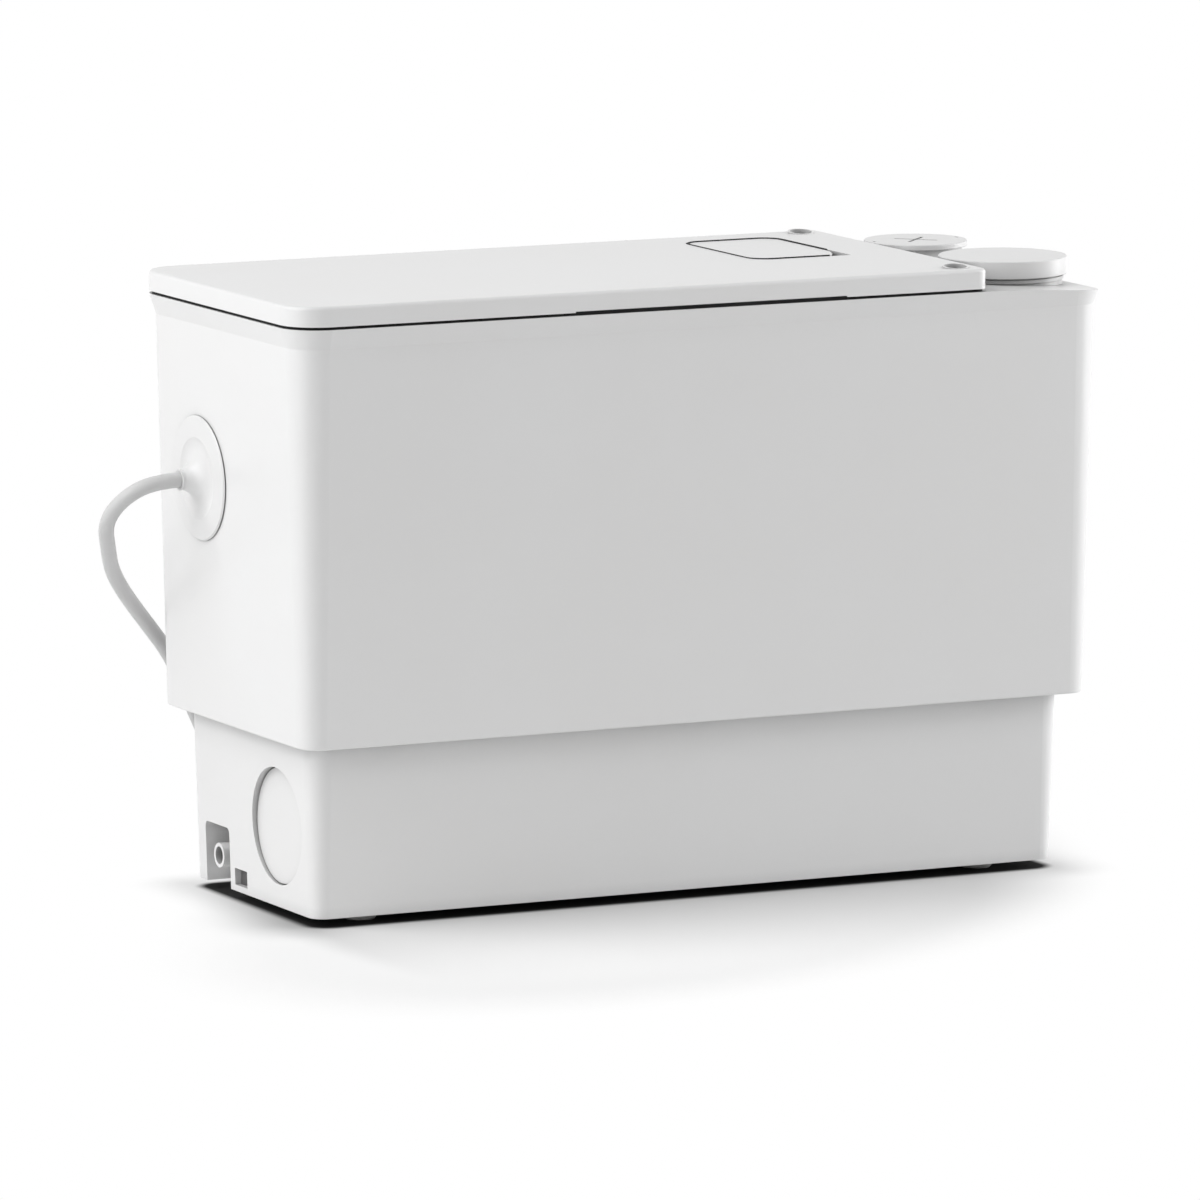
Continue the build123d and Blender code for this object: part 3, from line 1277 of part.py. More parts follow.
with BuildPart() as vent_pipe:
    with Locations((vent_x, vent_y)):
        upright(vent_radius, compartment_z, well_bottom_z - vent_gap)
        upright(vent_radius - vent_wall, compartment_z - 1, well_bottom_z, Mode.SUBTRACT)

# Level bell in the tank with the pressure switch on top of it
switch_z = compartment_z + bell_flange_thickness
with BuildPart() as dip_tube:
    with Locations((bell_x, bell_y)):
        upright(bell_radius, tank_inside_z + bell_floor_gap, switch_z)
        upright(bell_flange_radius, compartment_z, switch_z)
        upright(bell_radius - bell_wall, tank_inside_z, switch_z - bell_wall, Mode.SUBTRACT)

with BuildPart() as pressure_switch:
    with Locations((bell_x, bell_y)):
        upright(switch_radius, switch_z, switch_z + switch_height)
    fillet(pressure_switch.edges().group_by(Axis.Z)[-1], radius=2)
    with Locations((bell_x, bell_y, switch_z + switch_height)):
        with GridLocations(8, 0, 3, 1):
            Box(1, 6, switch_tab_height, align=(Align.CENTER, Align.CENTER, Align.MIN))

# Control box on two legs, its cover, the board inside and the capacitor below
lead_axis_z = grommet_z
with BuildPart() as control_box:
    with BuildSketch(Plane.XY.offset(box_floor_z)):
        with Locations((box_x, box_y)):
            RectangleRounded(box_length, box_width, box_corner)
    extrude(amount=box_height)
    with BuildSketch(Plane.XY.offset(box_floor_z + box_wall)):
        with Locations((box_x, box_y)):
            Rectangle(box_length - 2 * box_wall, box_width - 2 * box_wall)
    extrude(amount=box_height, mode=Mode.SUBTRACT)
    for leg_side in (-1, 1):
        with Locations((box_x, box_y + leg_side * (box_width - box_leg_thickness) / 2, compartment_z)):
            Box(
                box_length - 2 * box_corner,
                box_leg_thickness,
                box_floor_z - compartment_z,
                align=(Align.CENTER, Align.CENTER, Align.MIN),
            )
            Box(
                box_length - 2 * box_corner,
                2 * box_foot_width,
                box_leg_thickness,
                align=(Align.CENTER, Align.CENTER, Align.MIN),
            )
    with Locations((box_x, box_y)):
        with GridLocations(box_length - 2 * box_post_from_side, box_width - 2 * box_post_from_side, 2, 2):
            upright(box_post_radius, box_floor_z, box_floor_z + box_wall + board_lift)
    with BuildSketch(Plane(origin=(box_x - box_length / 2 - 1, grommet_y, lead_axis_z), z_dir=(1, 0, 0))):
        Circle(cable_diameter / 2 + 4 * cable_clearance)
    extrude(amount=box_wall + 2, mode=Mode.SUBTRACT)

with BuildPart() as control_box_cover:
    with BuildSketch(Plane.XY.offset(box_floor_z + box_height)):
        with Locations((box_x, box_y)):
            RectangleRounded(box_length, box_width, box_corner)
    extrude(amount=box_cover_thickness)
    with BuildSketch(Plane.XY.offset(box_floor_z + box_height)):
        with Locations((box_x, box_y)):
            Rectangle(box_length - 2 * box_wall - 1, box_width - 2 * box_wall - 1)
    extrude(amount=-box_wall)

board_z = box_floor_z + box_wall + board_lift
with BuildPart() as circuit_board:
    with BuildSketch(Plane.XY.offset(board_z)):
        with Locations((box_x, box_y)):
            Rectangle(box_length - 2 * box_wall - board_margin, box_width - 2 * box_wall - board_margin)
    extrude(amount=board_thickness)
    parts_z = board_z + board_thickness
    with Locations((box_x + relay_offset_x, box_y + relay_offset_y, parts_z)):
        Box(relay_length, relay_width, relay_height, align=(Align.CENTER, Align.CENTER, Align.MIN))
    with Locations((box_x + terminal_offset_x, box_y + terminal_offset_y, parts_z)):
        Box(terminal_length, terminal_width, terminal_height, align=(Align.CENTER, Align.CENTER, Align.MIN))
    with Locations((box_x + smoothing_offset_x, box_y + smoothing_offset_y, parts_z)):
        Cylinder(smoothing_radius, smoothing_height, align=(Align.CENTER, Align.CENTER, Align.MIN))

with BuildPart() as capacitor:
    capacitor_z = box_floor_z - capacitor_gap - capacitor_radius
    with Locations((box_x, box_y, capacitor_z)):
        Cylinder(capacitor_radius, capacitor_length, rotation=(90, 0, 0))
    chamfer(capacitor.edges().filter_by(GeomType.CIRCLE), length=1.5)

# Lead from the motor's end cap over to the control box's cover
lead_start = Vector(
    pump_x - motor_radius * 0.8,
    pump_y + lead_start_offset_y,
    motor_top_z + end_cap_height,
)
lead_end = Vector(
    box_x + box_length / 4,
    box_y + lead_end_offset_y,
    box_floor_z + box_height + box_cover_thickness,
)
lead_top_z = lead_start.Z + lead_rise
lead_points = [
    lead_start,
    Vector(lead_start.X, lead_start.Y, lead_top_z),
    Vector(lead_end.X, lead_end.Y, lead_top_z),
    lead_end,
]
with BuildPart() as motor_lead:
    with BuildLine():
        FilletPolyline(*lead_points, radius=lead_bend)
    with BuildSketch(Plane.XY.offset(lead_start.Z)):
        with Locations((lead_start.X, lead_start.Y)):
            Circle(lead_radius)
    sweep()

# Grommet: a flat disc on the casing that rises in a hollow curve to the cable's collar
with BuildPart() as cable_grommet:
    with BuildSketch(Plane.XZ) as grommet_profile:
        with BuildLine():
            Polyline(
                (cable_diameter / 2 + cable_clearance, -grommet_spigot_length),
                (grommet_spigot_radius, -grommet_spigot_length),
                (grommet_spigot_radius, 0),
                (grommet_radius - grommet_undercut, 0),
                (grommet_radius - grommet_undercut, grommet_undercut_height),
                (grommet_radius, grommet_undercut_height),
                (grommet_radius, grommet_rim * 0.5),
                (grommet_radius - grommet_rim * 0.5, grommet_rim),
                (grommet_flare_radius, grommet_rim + grommet_flare_rise),
            )
            ThreePointArc(
                (grommet_flare_radius, grommet_rim + grommet_flare_rise),
                (
                    grommet_collar_radius + 0.22 * (grommet_flare_radius - grommet_collar_radius),
                    grommet_rim + grommet_flare_rise + 0.22 * (grommet_reach - grommet_rim),
                ),
                (grommet_collar_radius, grommet_reach - 1.4),
            )
            Polyline(
                (grommet_collar_radius, grommet_reach - 1.4),
                (grommet_collar_radius, grommet_reach),
                (cable_diameter / 2 + cable_clearance, grommet_reach),
                (cable_diameter / 2 + cable_clearance, -grommet_spigot_length),
            )
        make_face()
    revolve(axis=Axis.Z)
cable_grommet.part = grommet_plane.location * cable_grommet.part

# Mains cable from the grommet's mouth round the casing's rear corner to the floor
exit_point = grommet_plane.from_local_coords(Vector(0, 0, grommet_reach))
coil_start_y = coil_centre_y - coil_outer_radius
floor_z = cable_diameter / 2
cable_route = [
    (exit_point.X, exit_point.Y, exit_point.Z),
    tuple(grommet_plane.from_local_coords(Vector(0, 0, grommet_reach + 13.0))),
    (-216.7, 30.6, 168.3),
    (-220.0, 39.7, 157.9),
    (-212.1, 54.6, 144.8),
    (-204.9, 67.6, 133.5),
    (-194.3, 78.5, 121.7),
    (-180.7, 88.3, 107.9),
    (-164.8, 96.0, 90.4),
    (-152.1, 101.5, 65.1),
    (-138.5, 103.5, 38.0),
    (-117.0, 101.5, 15.0),
    (-90.0, 96.5, 4.2),
    (-58.0, 89.0, floor_z + 0.1),
    (-26.0, coil_start_y, floor_z),
    (coil_centre_x - cable_diameter, coil_start_y, floor_z),
]
cable_radii = bend_radii(cable_route)
print("cable bend radii", [round(radius, 1) for radius in cable_radii])
with BuildPart() as cable:
    with BuildLine() as cable_path:
        FilletPolyline(*cable_route, radius=cable_radii)
    with BuildSketch(Plane(origin=cable_path.line @ 0, z_dir=cable_path.line % 0)):
        Circle(cable_diameter / 2)
    sweep()
cable_length = cable_path.wire().length
print("cable length", round(cable_length, 1))
print("cable volume over section times length",
      round(cable.part.volume / (math.pi * cable_diameter**2 / 4 * cable_length), 4))

with BuildPart() as inner_lead:
    inner_end_x = box_x - box_length / 2 + box_wall + 12
    with BuildSketch(grommet_plane.offset(grommet_reach)):
        Circle(cable_diameter / 2)
    extrude(amount=-(inner_end_x - exit_point.X))

# Coil: half turns that spiral in on the floor, climb a layer and spiral out again
with BuildPart() as cable_coil:
    with BuildLine() as coil_path:
        half_turn_start = Vector(coil_centre_x, coil_start_y, floor_z)
        Line(half_turn_start - Vector(cable_diameter, 0, 0), half_turn_start)
        turn_radius = coil_outer_radius
        across = 1
        for half_turn in range(2 * coil_half_turns_each_layer):
            climbing = half_turn == coil_half_turns_each_layer
            climb = coil_pitch if climbing else 0
            reach = math.sqrt((2 * turn_radius) ** 2 - climb**2)
            half_turn_end = half_turn_start + Vector(0, across * reach, climb)
            centre = (half_turn_start + half_turn_end) / 2
            ThreePointArc(half_turn_start, centre + Vector(across * turn_radius, 0, 0), half_turn_end)
            half_turn_start = half_turn_end
            across = -across
            inward = half_turn < coil_half_turns_each_layer
            turn_radius += (-coil_pitch if inward else coil_pitch) / 2
        coil_end = half_turn_start + Vector(across * cable_diameter, 0, 0)
        Line(half_turn_start, coil_end)
    with BuildSketch(Plane(origin=coil_path.line @ 0, z_dir=(1, 0, 0))):
        Circle(cable_diameter / 2)
    sweep()

coil_length = coil_path.wire().length
coil_samples = [coil_path.wire().position_at(step / 400) for step in range(401)]
apart = math.ceil(2.5 * cable_diameter / (coil_length / 400))
least_gap = min(
    (near - far).length
    for index, near in enumerate(coil_samples)
    for far in coil_samples[index + apart:]
) - cable_diameter
print("coil length", round(coil_length, 1), "least gap to itself", round(least_gap, 2))

# Short stretch from the coil to the plug
plug_start = Vector(coil_end.X + 92.0, coil_end.Y + 3.0, plug_face_radius)
tail_route = [
    (coil_end.X, coil_end.Y, coil_end.Z),
    (coil_end.X + 19.0, coil_end.Y, coil_end.Z),
    (coil_end.X + 45.0, coil_end.Y + 1.5, coil_end.Z + 4.0),
    (coil_end.X + 72.0, plug_start.Y, plug_start.Z),
    (plug_start.X, plug_start.Y, plug_start.Z),
]
tail_radii = bend_radii(tail_route)
print("tail bend radii", [round(radius, 1) for radius in tail_radii])
with BuildPart() as cable_tail:
    with BuildLine() as tail_path:
        FilletPolyline(*tail_route, radius=tail_radii)
    with BuildSketch(Plane(origin=tail_path.line @ 0, z_dir=tail_path.line % 0)):
        Circle(cable_diameter / 2)
    sweep()
print("whole cable", round(cable_length + coil_length + tail_path.wire().length, 1))

plug_body_end = plug_relief_length + plug_body_length
with BuildPart() as mains_plug:
    with BuildSketch(Plane.XY):
        with BuildLine():
            Polyline(
                (0, 0),
                (0, plug_relief_radius - 1),
                (plug_relief_length, plug_relief_radius + 2),
                (plug_relief_length + 4, plug_grip_radius),
                (plug_body_end - 12, plug_grip_radius + 1),
                (plug_body_end - 5, plug_face_radius),
                (plug_body_end, plug_face_radius),
                (plug_body_end, 0),
                (0, 0),
            )
        make_face()
    revolve(axis=Axis.X)
    # Grooves that let the cable's relief bend
    for groove in range(plug_relief_grooves):
        groove_x = plug_groove_width + groove * plug_groove_pitch
        relief_radius = plug_relief_radius - 1 + 3 * groove_x / plug_relief_length
        with BuildSketch(Plane.YZ.offset(groove_x)):
            Circle(plug_grip_radius)
            Circle(relief_radius - plug_groove_depth, mode=Mode.SUBTRACT)
        extrude(amount=plug_groove_width, mode=Mode.SUBTRACT)
mains_plug.part = Location(plug_start) * mains_plug.part

with BuildPart() as plug_pins:
    with BuildSketch(Plane(origin=(plug_start.X + plug_body_end, plug_start.Y, plug_start.Z), z_dir=(1, 0, 0))):
        with Locations((0, plug_pin_spread), (0, -plug_pin_spread)):
            Circle(plug_pin_radius)
    extrude(amount=plug_pin_length)
    chamfer(plug_pins.edges().group_by(Axis.X)[-1], length=0.8)

pieces = {
    "tank": tank,
    "rubber_feet": rubber_feet,
    "fixing_bushes": fixing_bushes,
    "tank_gasket": tank_gasket,
    "partition": partition,
    "housing": housing,
    "housing_screws": housing_screws,
    "lid": lid,
    "lid_gasket": lid_gasket,
    "lid_screws": lid_screws,
    "hatch": hatch,
    "hatch_seal": hatch_seal,
    "filter_cartridge": filter_cartridge,
    "carbon_block": carbon_block,
    "inlet_cap": inlet_cap,
    "inlet_cap_seal": inlet_cap_seal,
    "inlet_duct": inlet_duct,
    "discharge_cap": discharge_cap,
    "discharge_cap_seal": discharge_cap_seal,
    "side_plug_left": side_plugs["left"],
    "side_plug_right": side_plugs["right"],
    "side_plug_seal_left": side_plug_seals["left"],
    "side_plug_seal_right": side_plug_seals["right"],
    "volute": volute,
    "strainer": strainer,
    "impeller": impeller,
    "impeller_nut": impeller_nut,
    "shaft": shaft,
    "rotor": rotor,
    "seal_housing": seal_housing,
    "shaft_seal": shaft_seal,
    "bearings": bearings,
    "motor_shell": motor_shell,
    "stator": stator,
    "stator_windings": stator_windings,
    "motor_end_cap": motor_end_cap,
    "motor_damper": motor_damper,
    "pump_screws": pump_screws,
    "discharge_pipe": discharge_pipe,
    "valve_base": valve_base,
    "valve_cover": valve_cover,
    "valve_flap": valve_flap,
    "flap_pin": flap_pin,
    "riser_hose": riser_hose,
    "hose_clamps": hose_clamps,
    "vent_pipe": vent_pipe,
    "dip_tube": dip_tube,
    "pressure_switch": pressure_switch,
    "control_box": control_box,
    "control_box_cover": control_box_cover,
    "circuit_board": circuit_board,
    "capacitor": capacitor,
    "motor_lead": motor_lead,
    "cable_grommet": cable_grommet,
    "inner_lead": inner_lead,
    "cable": cable,
    "cable_coil": cable_coil,
    "cable_tail": cable_tail,
    "mains_plug": mains_plug,
    "plug_pins": plug_pins,
}

os.makedirs("parts", exist_ok=True)
for piece_name, piece in pieces.items():
    piece.part.label = piece_name
    export_step(piece.part, f"parts/{piece_name}.step")
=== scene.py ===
import json
import math

import bpy
from mathutils import Matrix, Vector


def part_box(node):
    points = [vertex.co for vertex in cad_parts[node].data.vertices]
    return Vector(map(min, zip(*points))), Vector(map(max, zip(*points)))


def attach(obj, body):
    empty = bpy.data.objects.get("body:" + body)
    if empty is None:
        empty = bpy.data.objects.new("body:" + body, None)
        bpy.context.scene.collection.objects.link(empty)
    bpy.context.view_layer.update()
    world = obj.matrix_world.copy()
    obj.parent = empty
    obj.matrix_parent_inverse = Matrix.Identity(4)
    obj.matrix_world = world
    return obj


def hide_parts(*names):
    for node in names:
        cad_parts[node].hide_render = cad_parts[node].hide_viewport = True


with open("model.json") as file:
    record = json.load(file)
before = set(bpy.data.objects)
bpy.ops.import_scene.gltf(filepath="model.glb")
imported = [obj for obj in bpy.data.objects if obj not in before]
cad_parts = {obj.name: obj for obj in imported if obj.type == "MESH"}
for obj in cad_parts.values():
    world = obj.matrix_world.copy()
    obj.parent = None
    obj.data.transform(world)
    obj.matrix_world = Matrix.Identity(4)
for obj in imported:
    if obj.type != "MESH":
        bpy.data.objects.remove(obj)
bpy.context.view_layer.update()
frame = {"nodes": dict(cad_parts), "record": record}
nodes = frame["nodes"]
scene = bpy.context.scene

# Camera at the photograph's viewing angle: its place in metres, the directions of its right
# and its upper side, its sensor and lens in millimetres, and what it can see in metres
CAMERA_PLACE = (-2.060856, -4.183063, 0.804167)
CAMERA_RIGHT = Vector((0.898099, -0.439793, 0.000225))
CAMERA_UP = Vector((0.063926, 0.131048, 0.989313))
CAMERA_SENSOR = 36.0
CAMERA_LENS = 338.35
CAMERA_NEAREST = 0.1
CAMERA_FARTHEST = 60.0


def place_camera():
    """The studio camera, a long lens low over the floor at the front left."""
    data = bpy.data.cameras.new("studio_camera")
    data.sensor_width = CAMERA_SENSOR
    data.lens = CAMERA_LENS
    data.clip_start = CAMERA_NEAREST
    data.clip_end = CAMERA_FARTHEST
    camera = bpy.data.objects.new("studio_camera", data)
    back = CAMERA_RIGHT.cross(CAMERA_UP)
    camera.rotation_euler = Matrix((CAMERA_RIGHT, CAMERA_UP, back)).transposed().to_euler()
    camera.location = CAMERA_PLACE
    scene.collection.objects.link(camera)
    scene.camera = camera


place_camera()


class Value:
    """What a node gives out: plain arithmetic on a number adds Math nodes."""

    def __init__(self, tree, socket):
        self.tree = tree
        self.socket = socket

    def maths(self, operation, *others):
        sockets = dict(enumerate((self, *others)))
        return self.tree.node("ShaderNodeMath", {"operation": operation}, sockets)

    def __add__(self, other):
        return self.maths("ADD", other)

    __radd__ = __add__

    def __sub__(self, other):
        return self.maths("SUBTRACT", other)

    def __rsub__(self, other):
        return self.tree.node("ShaderNodeMath", {"operation": "SUBTRACT"}, {0: other, 1: self})

    def __mul__(self, other):
        return self.maths("MULTIPLY", other)

    __rmul__ = __mul__

    def __truediv__(self, other):
        return self.maths("DIVIDE", other)

    def smooth(self, low, high):
        """0 below low, 1 above high and an even curve between them."""
        sockets = {"Value": self, "From Min": low, "From Max": high}
        return self.tree.node("ShaderNodeMapRange", {"interpolation_type": "SMOOTHSTEP"}, sockets)


def hypotenuse(*parts):
    """The straight distance whose parts along the axes are these."""
    squares = [part * part for part in parts]
    return sum(squares[1:], squares[0]).maths("SQRT")


class Tree:
    """The nodes of a material or of the world, up to the output that shows them."""

    def __init__(self, tree, output):
        self.tree = tree
        self.tree.nodes.clear()
        self.output = self.tree.nodes.new(output)

    def node(self, kind, settings, sockets, out=0):
        """Adds a node: its settings first, then its sockets, by name or by number."""
        made = self.tree.nodes.new(kind)
        for setting, value in settings.items():
            setattr(made, setting, value)
        for socket, value in sockets.items():
            if isinstance(value, Value):
                self.tree.links.new(value.socket, made.inputs[socket])
            else:
                made.inputs[socket].default_value = value
        return Value(self, made.outputs[out])

    def show(self, shader):
        """Sends a shader to the output."""
        self.tree.links.new(shader.socket, self.output.inputs["Surface"])

    def watched(self):
        """1 where the camera looks, also by way of gloss and glass, and 0 for all other light."""
        seen = self.node("ShaderNodeLightPath", {}, {}, out="Is Camera Ray")
        for ray in ("Is Glossy Ray", "Is Transmission Ray"):
            seen = seen.maths("MAXIMUM", self.node("ShaderNodeLightPath", {}, {}, out=ray))
        return seen


class Look(Tree):
    """The nodes of one finish, placed by the piece's own coordinates."""

    def __init__(self, name):
        self.material = bpy.data.materials.new(name)
        self.material.use_nodes = True
        super().__init__(self.material.node_tree, "ShaderNodeOutputMaterial")
        self.place = self.node("ShaderNodeTexCoord", {}, {}, out="Object")

    def along(self, axis):
        """How far a point of the surface is along X, Y or Z."""
        return self.node("ShaderNodeSeparateXYZ", {}, {"Vector": self.place}, out=axis)

    def noise(self, scale, detail=2.0, roughness=0.5, place=None):
        """Even noise over the surface, about 0.5 on average."""
        sockets = {"Scale": scale, "Detail": detail, "Roughness": roughness}
        sockets["Vector"] = place or self.place
        return self.node("ShaderNodeTexNoise", {"noise_dimensions": "3D"}, sockets)

    def mix(self, factor, first, second):
        """One of two colours, or some of both. A Mix node has its colours at these numbers."""
        sockets = {0: factor, 6: first, 7: second}
        return self.node("ShaderNodeMix", {"data_type": "RGBA"}, sockets, out=2)

    def bump(self, height, strength, distance, over=None):
        """A Normal from a height, on top of an earlier one if there is one."""
        sockets = {"Height": height, "Strength": strength, "Distance": distance}
        if over:
            sockets["Normal"] = over
        return self.node("ShaderNodeBump", {}, sockets)

    def principled(self, sockets):
        return self.node("ShaderNodeBsdfPrincipled", {}, sockets)

    def surface(self, sockets):
        """The finished material, a Principled shader with these sockets."""
        self.show(self.principled(sockets))
        return self.material


def tint(colour, share=1.0):
    """A colour as it is written, or a share of it."""
    return tuple(channel * share for channel in colour) + (1.0,)


def grey(level, warm=0.0):
    """A grey as it is written, a shade warmer or cooler."""
    return (level * (1 + warm), level, level * (1 - warm), 1.0)


# Shade painted into the crevices of the white mouldings: how far off the other side may be, and
# how dark the painted shade gets
PAINTED_SHADE_REACH = 0.009
PAINTED_CREVICE_SHADE = 0.28
PAINTED_SHADE_SAMPLES = 4


def moulded_white(name, level, grain, polish):
    """Fine-grained moulded plastic: faint tone changes, painted shade in its crevices, a grained
    skin and a soft gloss.
    """
    look = Look(name)
    clouds = look.noise(scale=9.0, detail=3.0)
    specks = look.noise(scale=900.0)
    duller = grey(level * 0.992, warm=0.002)
    brighter = grey(level * 1.006, warm=-0.001)
    colour = look.mix(clouds.smooth(0.35, 0.65), duller, brighter)
    # Painted shade: the colour turns to a darker grey where other surfaces are near, as in
    # crevices and recesses
    painted_shade_openness = look.node(
        "ShaderNodeAmbientOcclusion",
        {"samples": PAINTED_SHADE_SAMPLES},
        {"Distance": PAINTED_SHADE_REACH},
        out="AO",
    )
    colour = look.mix(painted_shade_openness.smooth(0.0, 1.0), grey(level * PAINTED_CREVICE_SHADE), colour)
    skin = look.noise(scale=grain, detail=3.0, roughness=0.6)
    ripple = look.noise(scale=60.0)
    normal = look.bump(skin, strength=0.10, distance=0.00006)
    normal = look.bump(ripple, strength=0.05, distance=0.0002, over=normal)
    roughness = polish + 0.05 * clouds + 0.05 * specks
    return look.surface(
        {"Base Color": colour, "Roughness": roughness, "Normal": normal, "IOR": 1.48}
    )


def soft_black(name, level, roughness):
    """Matt black rubber with a dusty bloom in its grain."""
    look = Look(name)
    grain = look.noise(scale=700.0, detail=4.0, roughness=0.6)
    bloom = look.noise(scale=40.0, detail=3.0)
    return look.surface(
        {
            "Base Color": look.mix(bloom.smooth(0.35, 0.75), grey(level), grey(level * 1.7)),
            "Roughness": roughness + 0.12 * grain,
            "Normal": look.bump(grain, strength=0.25, distance=0.0001),
            "Specular IOR Level": 0.12,
        }
    )


def plain_moulding(name, colour, roughness):
    """Inner moulded parts: even colour, fine spark-eroded grain."""
    look = Look(name)
    clouds = look.noise(scale=30.0, detail=3.0)
    grain = look.noise(scale=1100.0, roughness=0.6)
    return look.surface(
        {
            "Base Color": look.mix(clouds.smooth(0.3, 0.7), tint(colour, 0.93), tint(colour)),
            "Roughness": roughness + 0.08 * grain,
            "Normal": look.bump(grain, strength=0.15, distance=0.00008),
        }
    )


def brushed_metal(name, colour, roughness, along):
    """Stainless and cast metal: fine lines along one axis, slight stains."""
    look = Look(name)
    stretch = [2200.0, 2200.0, 2200.0]
    stretch[along] = 60.0
    mapped = look.node("ShaderNodeMapping", {}, {"Vector": look.place, "Scale": tuple(stretch)})
    lines = look.noise(scale=1.0, roughness=0.6, place=mapped)
    stain = look.noise(scale=45.0, detail=4.0)
    return look.surface(
        {
            "Base Color": look.mix(stain.smooth(0.3, 0.75), tint(colour, 0.86), tint(colour)),
            "Metallic": 1.0,
            "Roughness": roughness + 0.18 * lines,
            "Normal": look.bump(lines, strength=0.12, distance=0.00004),
        }
    )


def stacked_plates():
    """Varnished laminations: fine bands up the stack."""
    look = Look("varnished_laminations")
    plates = look.node(
        "ShaderNodeTexWave",
        {"wave_type": "BANDS", "bands_direction": "Z"},
        {"Vector": look.place, "Scale": 260.0, "Distortion": 0.4, "Detail": 1.0},
    )
    return look.surface(
        {
            "Base Color": look.mix(plates, tint((0.10, 0.10, 0.105)), tint((0.27, 0.27, 0.28))),
            "Metallic": 0.6,
            "Roughness": 0.38 + 0.15 * plates,
            "Normal": look.bump(plates, strength=0.4, distance=0.0001),
        }
    )


def wound_copper():
    """Varnished copper wire wound in fine strands round the shaft."""
    look = Look("varnished_copper")
    centred = look.node(
        "ShaderNodeMapping", {}, {"Vector": look.place, "Location": (0.03, 0.0, 0.0)}
    )
    strands = look.node(
        "ShaderNodeTexWave",
        {"wave_type": "RINGS", "rings_direction": "Z"},
        {"Vector": centred, "Scale": 300.0, "Distortion": 1.5, "Detail": 2.0},
    )
    return look.surface(
        {
            "Base Color": look.mix(strands, tint((0.28, 0.11, 0.04)), tint((0.62, 0.30, 0.13))),
            "Metallic": 0.8,
            "Roughness": 0.32 + 0.2 * strands,
            "Normal": look.bump(strands, strength=0.5, distance=0.0002),
        }
    )


def carbon_grains():
    """Granular carbon: packed dull grains."""
    look = Look("carbon_grains")
    cells = {"Vector": look.place, "Scale": 420.0}
    grains = look.node("ShaderNodeTexVoronoi", {"feature": "F1"}, cells)
    return look.surface(
        {
            "Base Color": look.mix(grains, grey(0.035), grey(0.012)),
            "Roughness": 0.75 + 0.2 * grains,
            "Normal": look.bump(grains, strength=0.9, distance=0.0006),
        }
    )


def cable_sheath():
    """Pale flexible sheath: semi-matt, fine-grained, a touch darker than the casing."""
    look = Look("cable_sheath")
    clouds = look.noise(scale=26.0, detail=3.0)
    grain = look.noise(scale=1300.0, roughness=0.6)
    return look.surface(
        {
            "Base Color": look.mix(clouds.smooth(0.3, 0.7), grey(0.58), grey(0.61)),
            "Roughness": 0.50 + 0.08 * grain,
            "Normal": look.bump(grain, strength=0.12, distance=0.00005),
        }
    )


ALONG_X = 0
ALONG_Z = 2

finish_of = {
    "housing_white": moulded_white("casing_white", level=0.76, grain=1500.0, polish=0.26),
    "tank_white": moulded_white("tank_white", level=0.75, grain=1300.0, polish=0.28),
    "cap_white": moulded_white("cap_white", level=0.74, grain=1500.0, polish=0.28),
    "seal_black": soft_black("joint_rubber", level=0.018, roughness=0.62),
    "foot_grey": plain_moulding("foot_rubber", (0.50, 0.50, 0.49), roughness=0.62),
    "cable_white": cable_sheath(),
    "inner_grey": plain_moulding("inner_grey", (0.42, 0.43, 0.44), roughness=0.45),
    "inner_black": plain_moulding("inner_black", (0.045, 0.045, 0.05), roughness=0.45),
    "pipe_grey": plain_moulding("pipe_grey", (0.55, 0.56, 0.57), roughness=0.42),
    "stainless": brushed_metal("stainless", (0.60, 0.60, 0.61), 0.26, ALONG_Z),
    "motor_paint": plain_moulding("motor_paint", (0.16, 0.18, 0.21), roughness=0.35),
    "cast_cap": brushed_metal("cast_alloy", (0.52, 0.53, 0.54), 0.42, ALONG_X),
    "laminations": stacked_plates(),
    "copper": wound_copper(),
    "carbon": carbon_grains(),
    "board_green": plain_moulding("board_green", (0.06, 0.19, 0.10), roughness=0.40),
    "contact_brass": brushed_metal("contact_brass", (0.74, 0.60, 0.32), 0.24, ALONG_X),
}
for subpart in frame["record"]["subparts"]:
    mesh = nodes[subpart["node"]].data
    mesh.materials.clear()
    mesh.materials.append(finish_of[subpart["material_slot"]])


def draw_line(name, kind, points, radius, roundness):
    """A round curve of one open spline, with these as its control points."""
    data = bpy.data.curves.new(name, "CURVE")
    data.dimensions = "3D"
    data.bevel_depth = radius
    data.bevel_resolution = roundness
    data.use_fill_caps = True
    spline = data.splines.new(kind)
    spline.points.add(len(points) - 1)
    for control, point in zip(spline.points, points):
        control.co = (*point, 1.0)
    line = bpy.data.objects.new(name, data)
    scene.collection.objects.link(line)
    return line


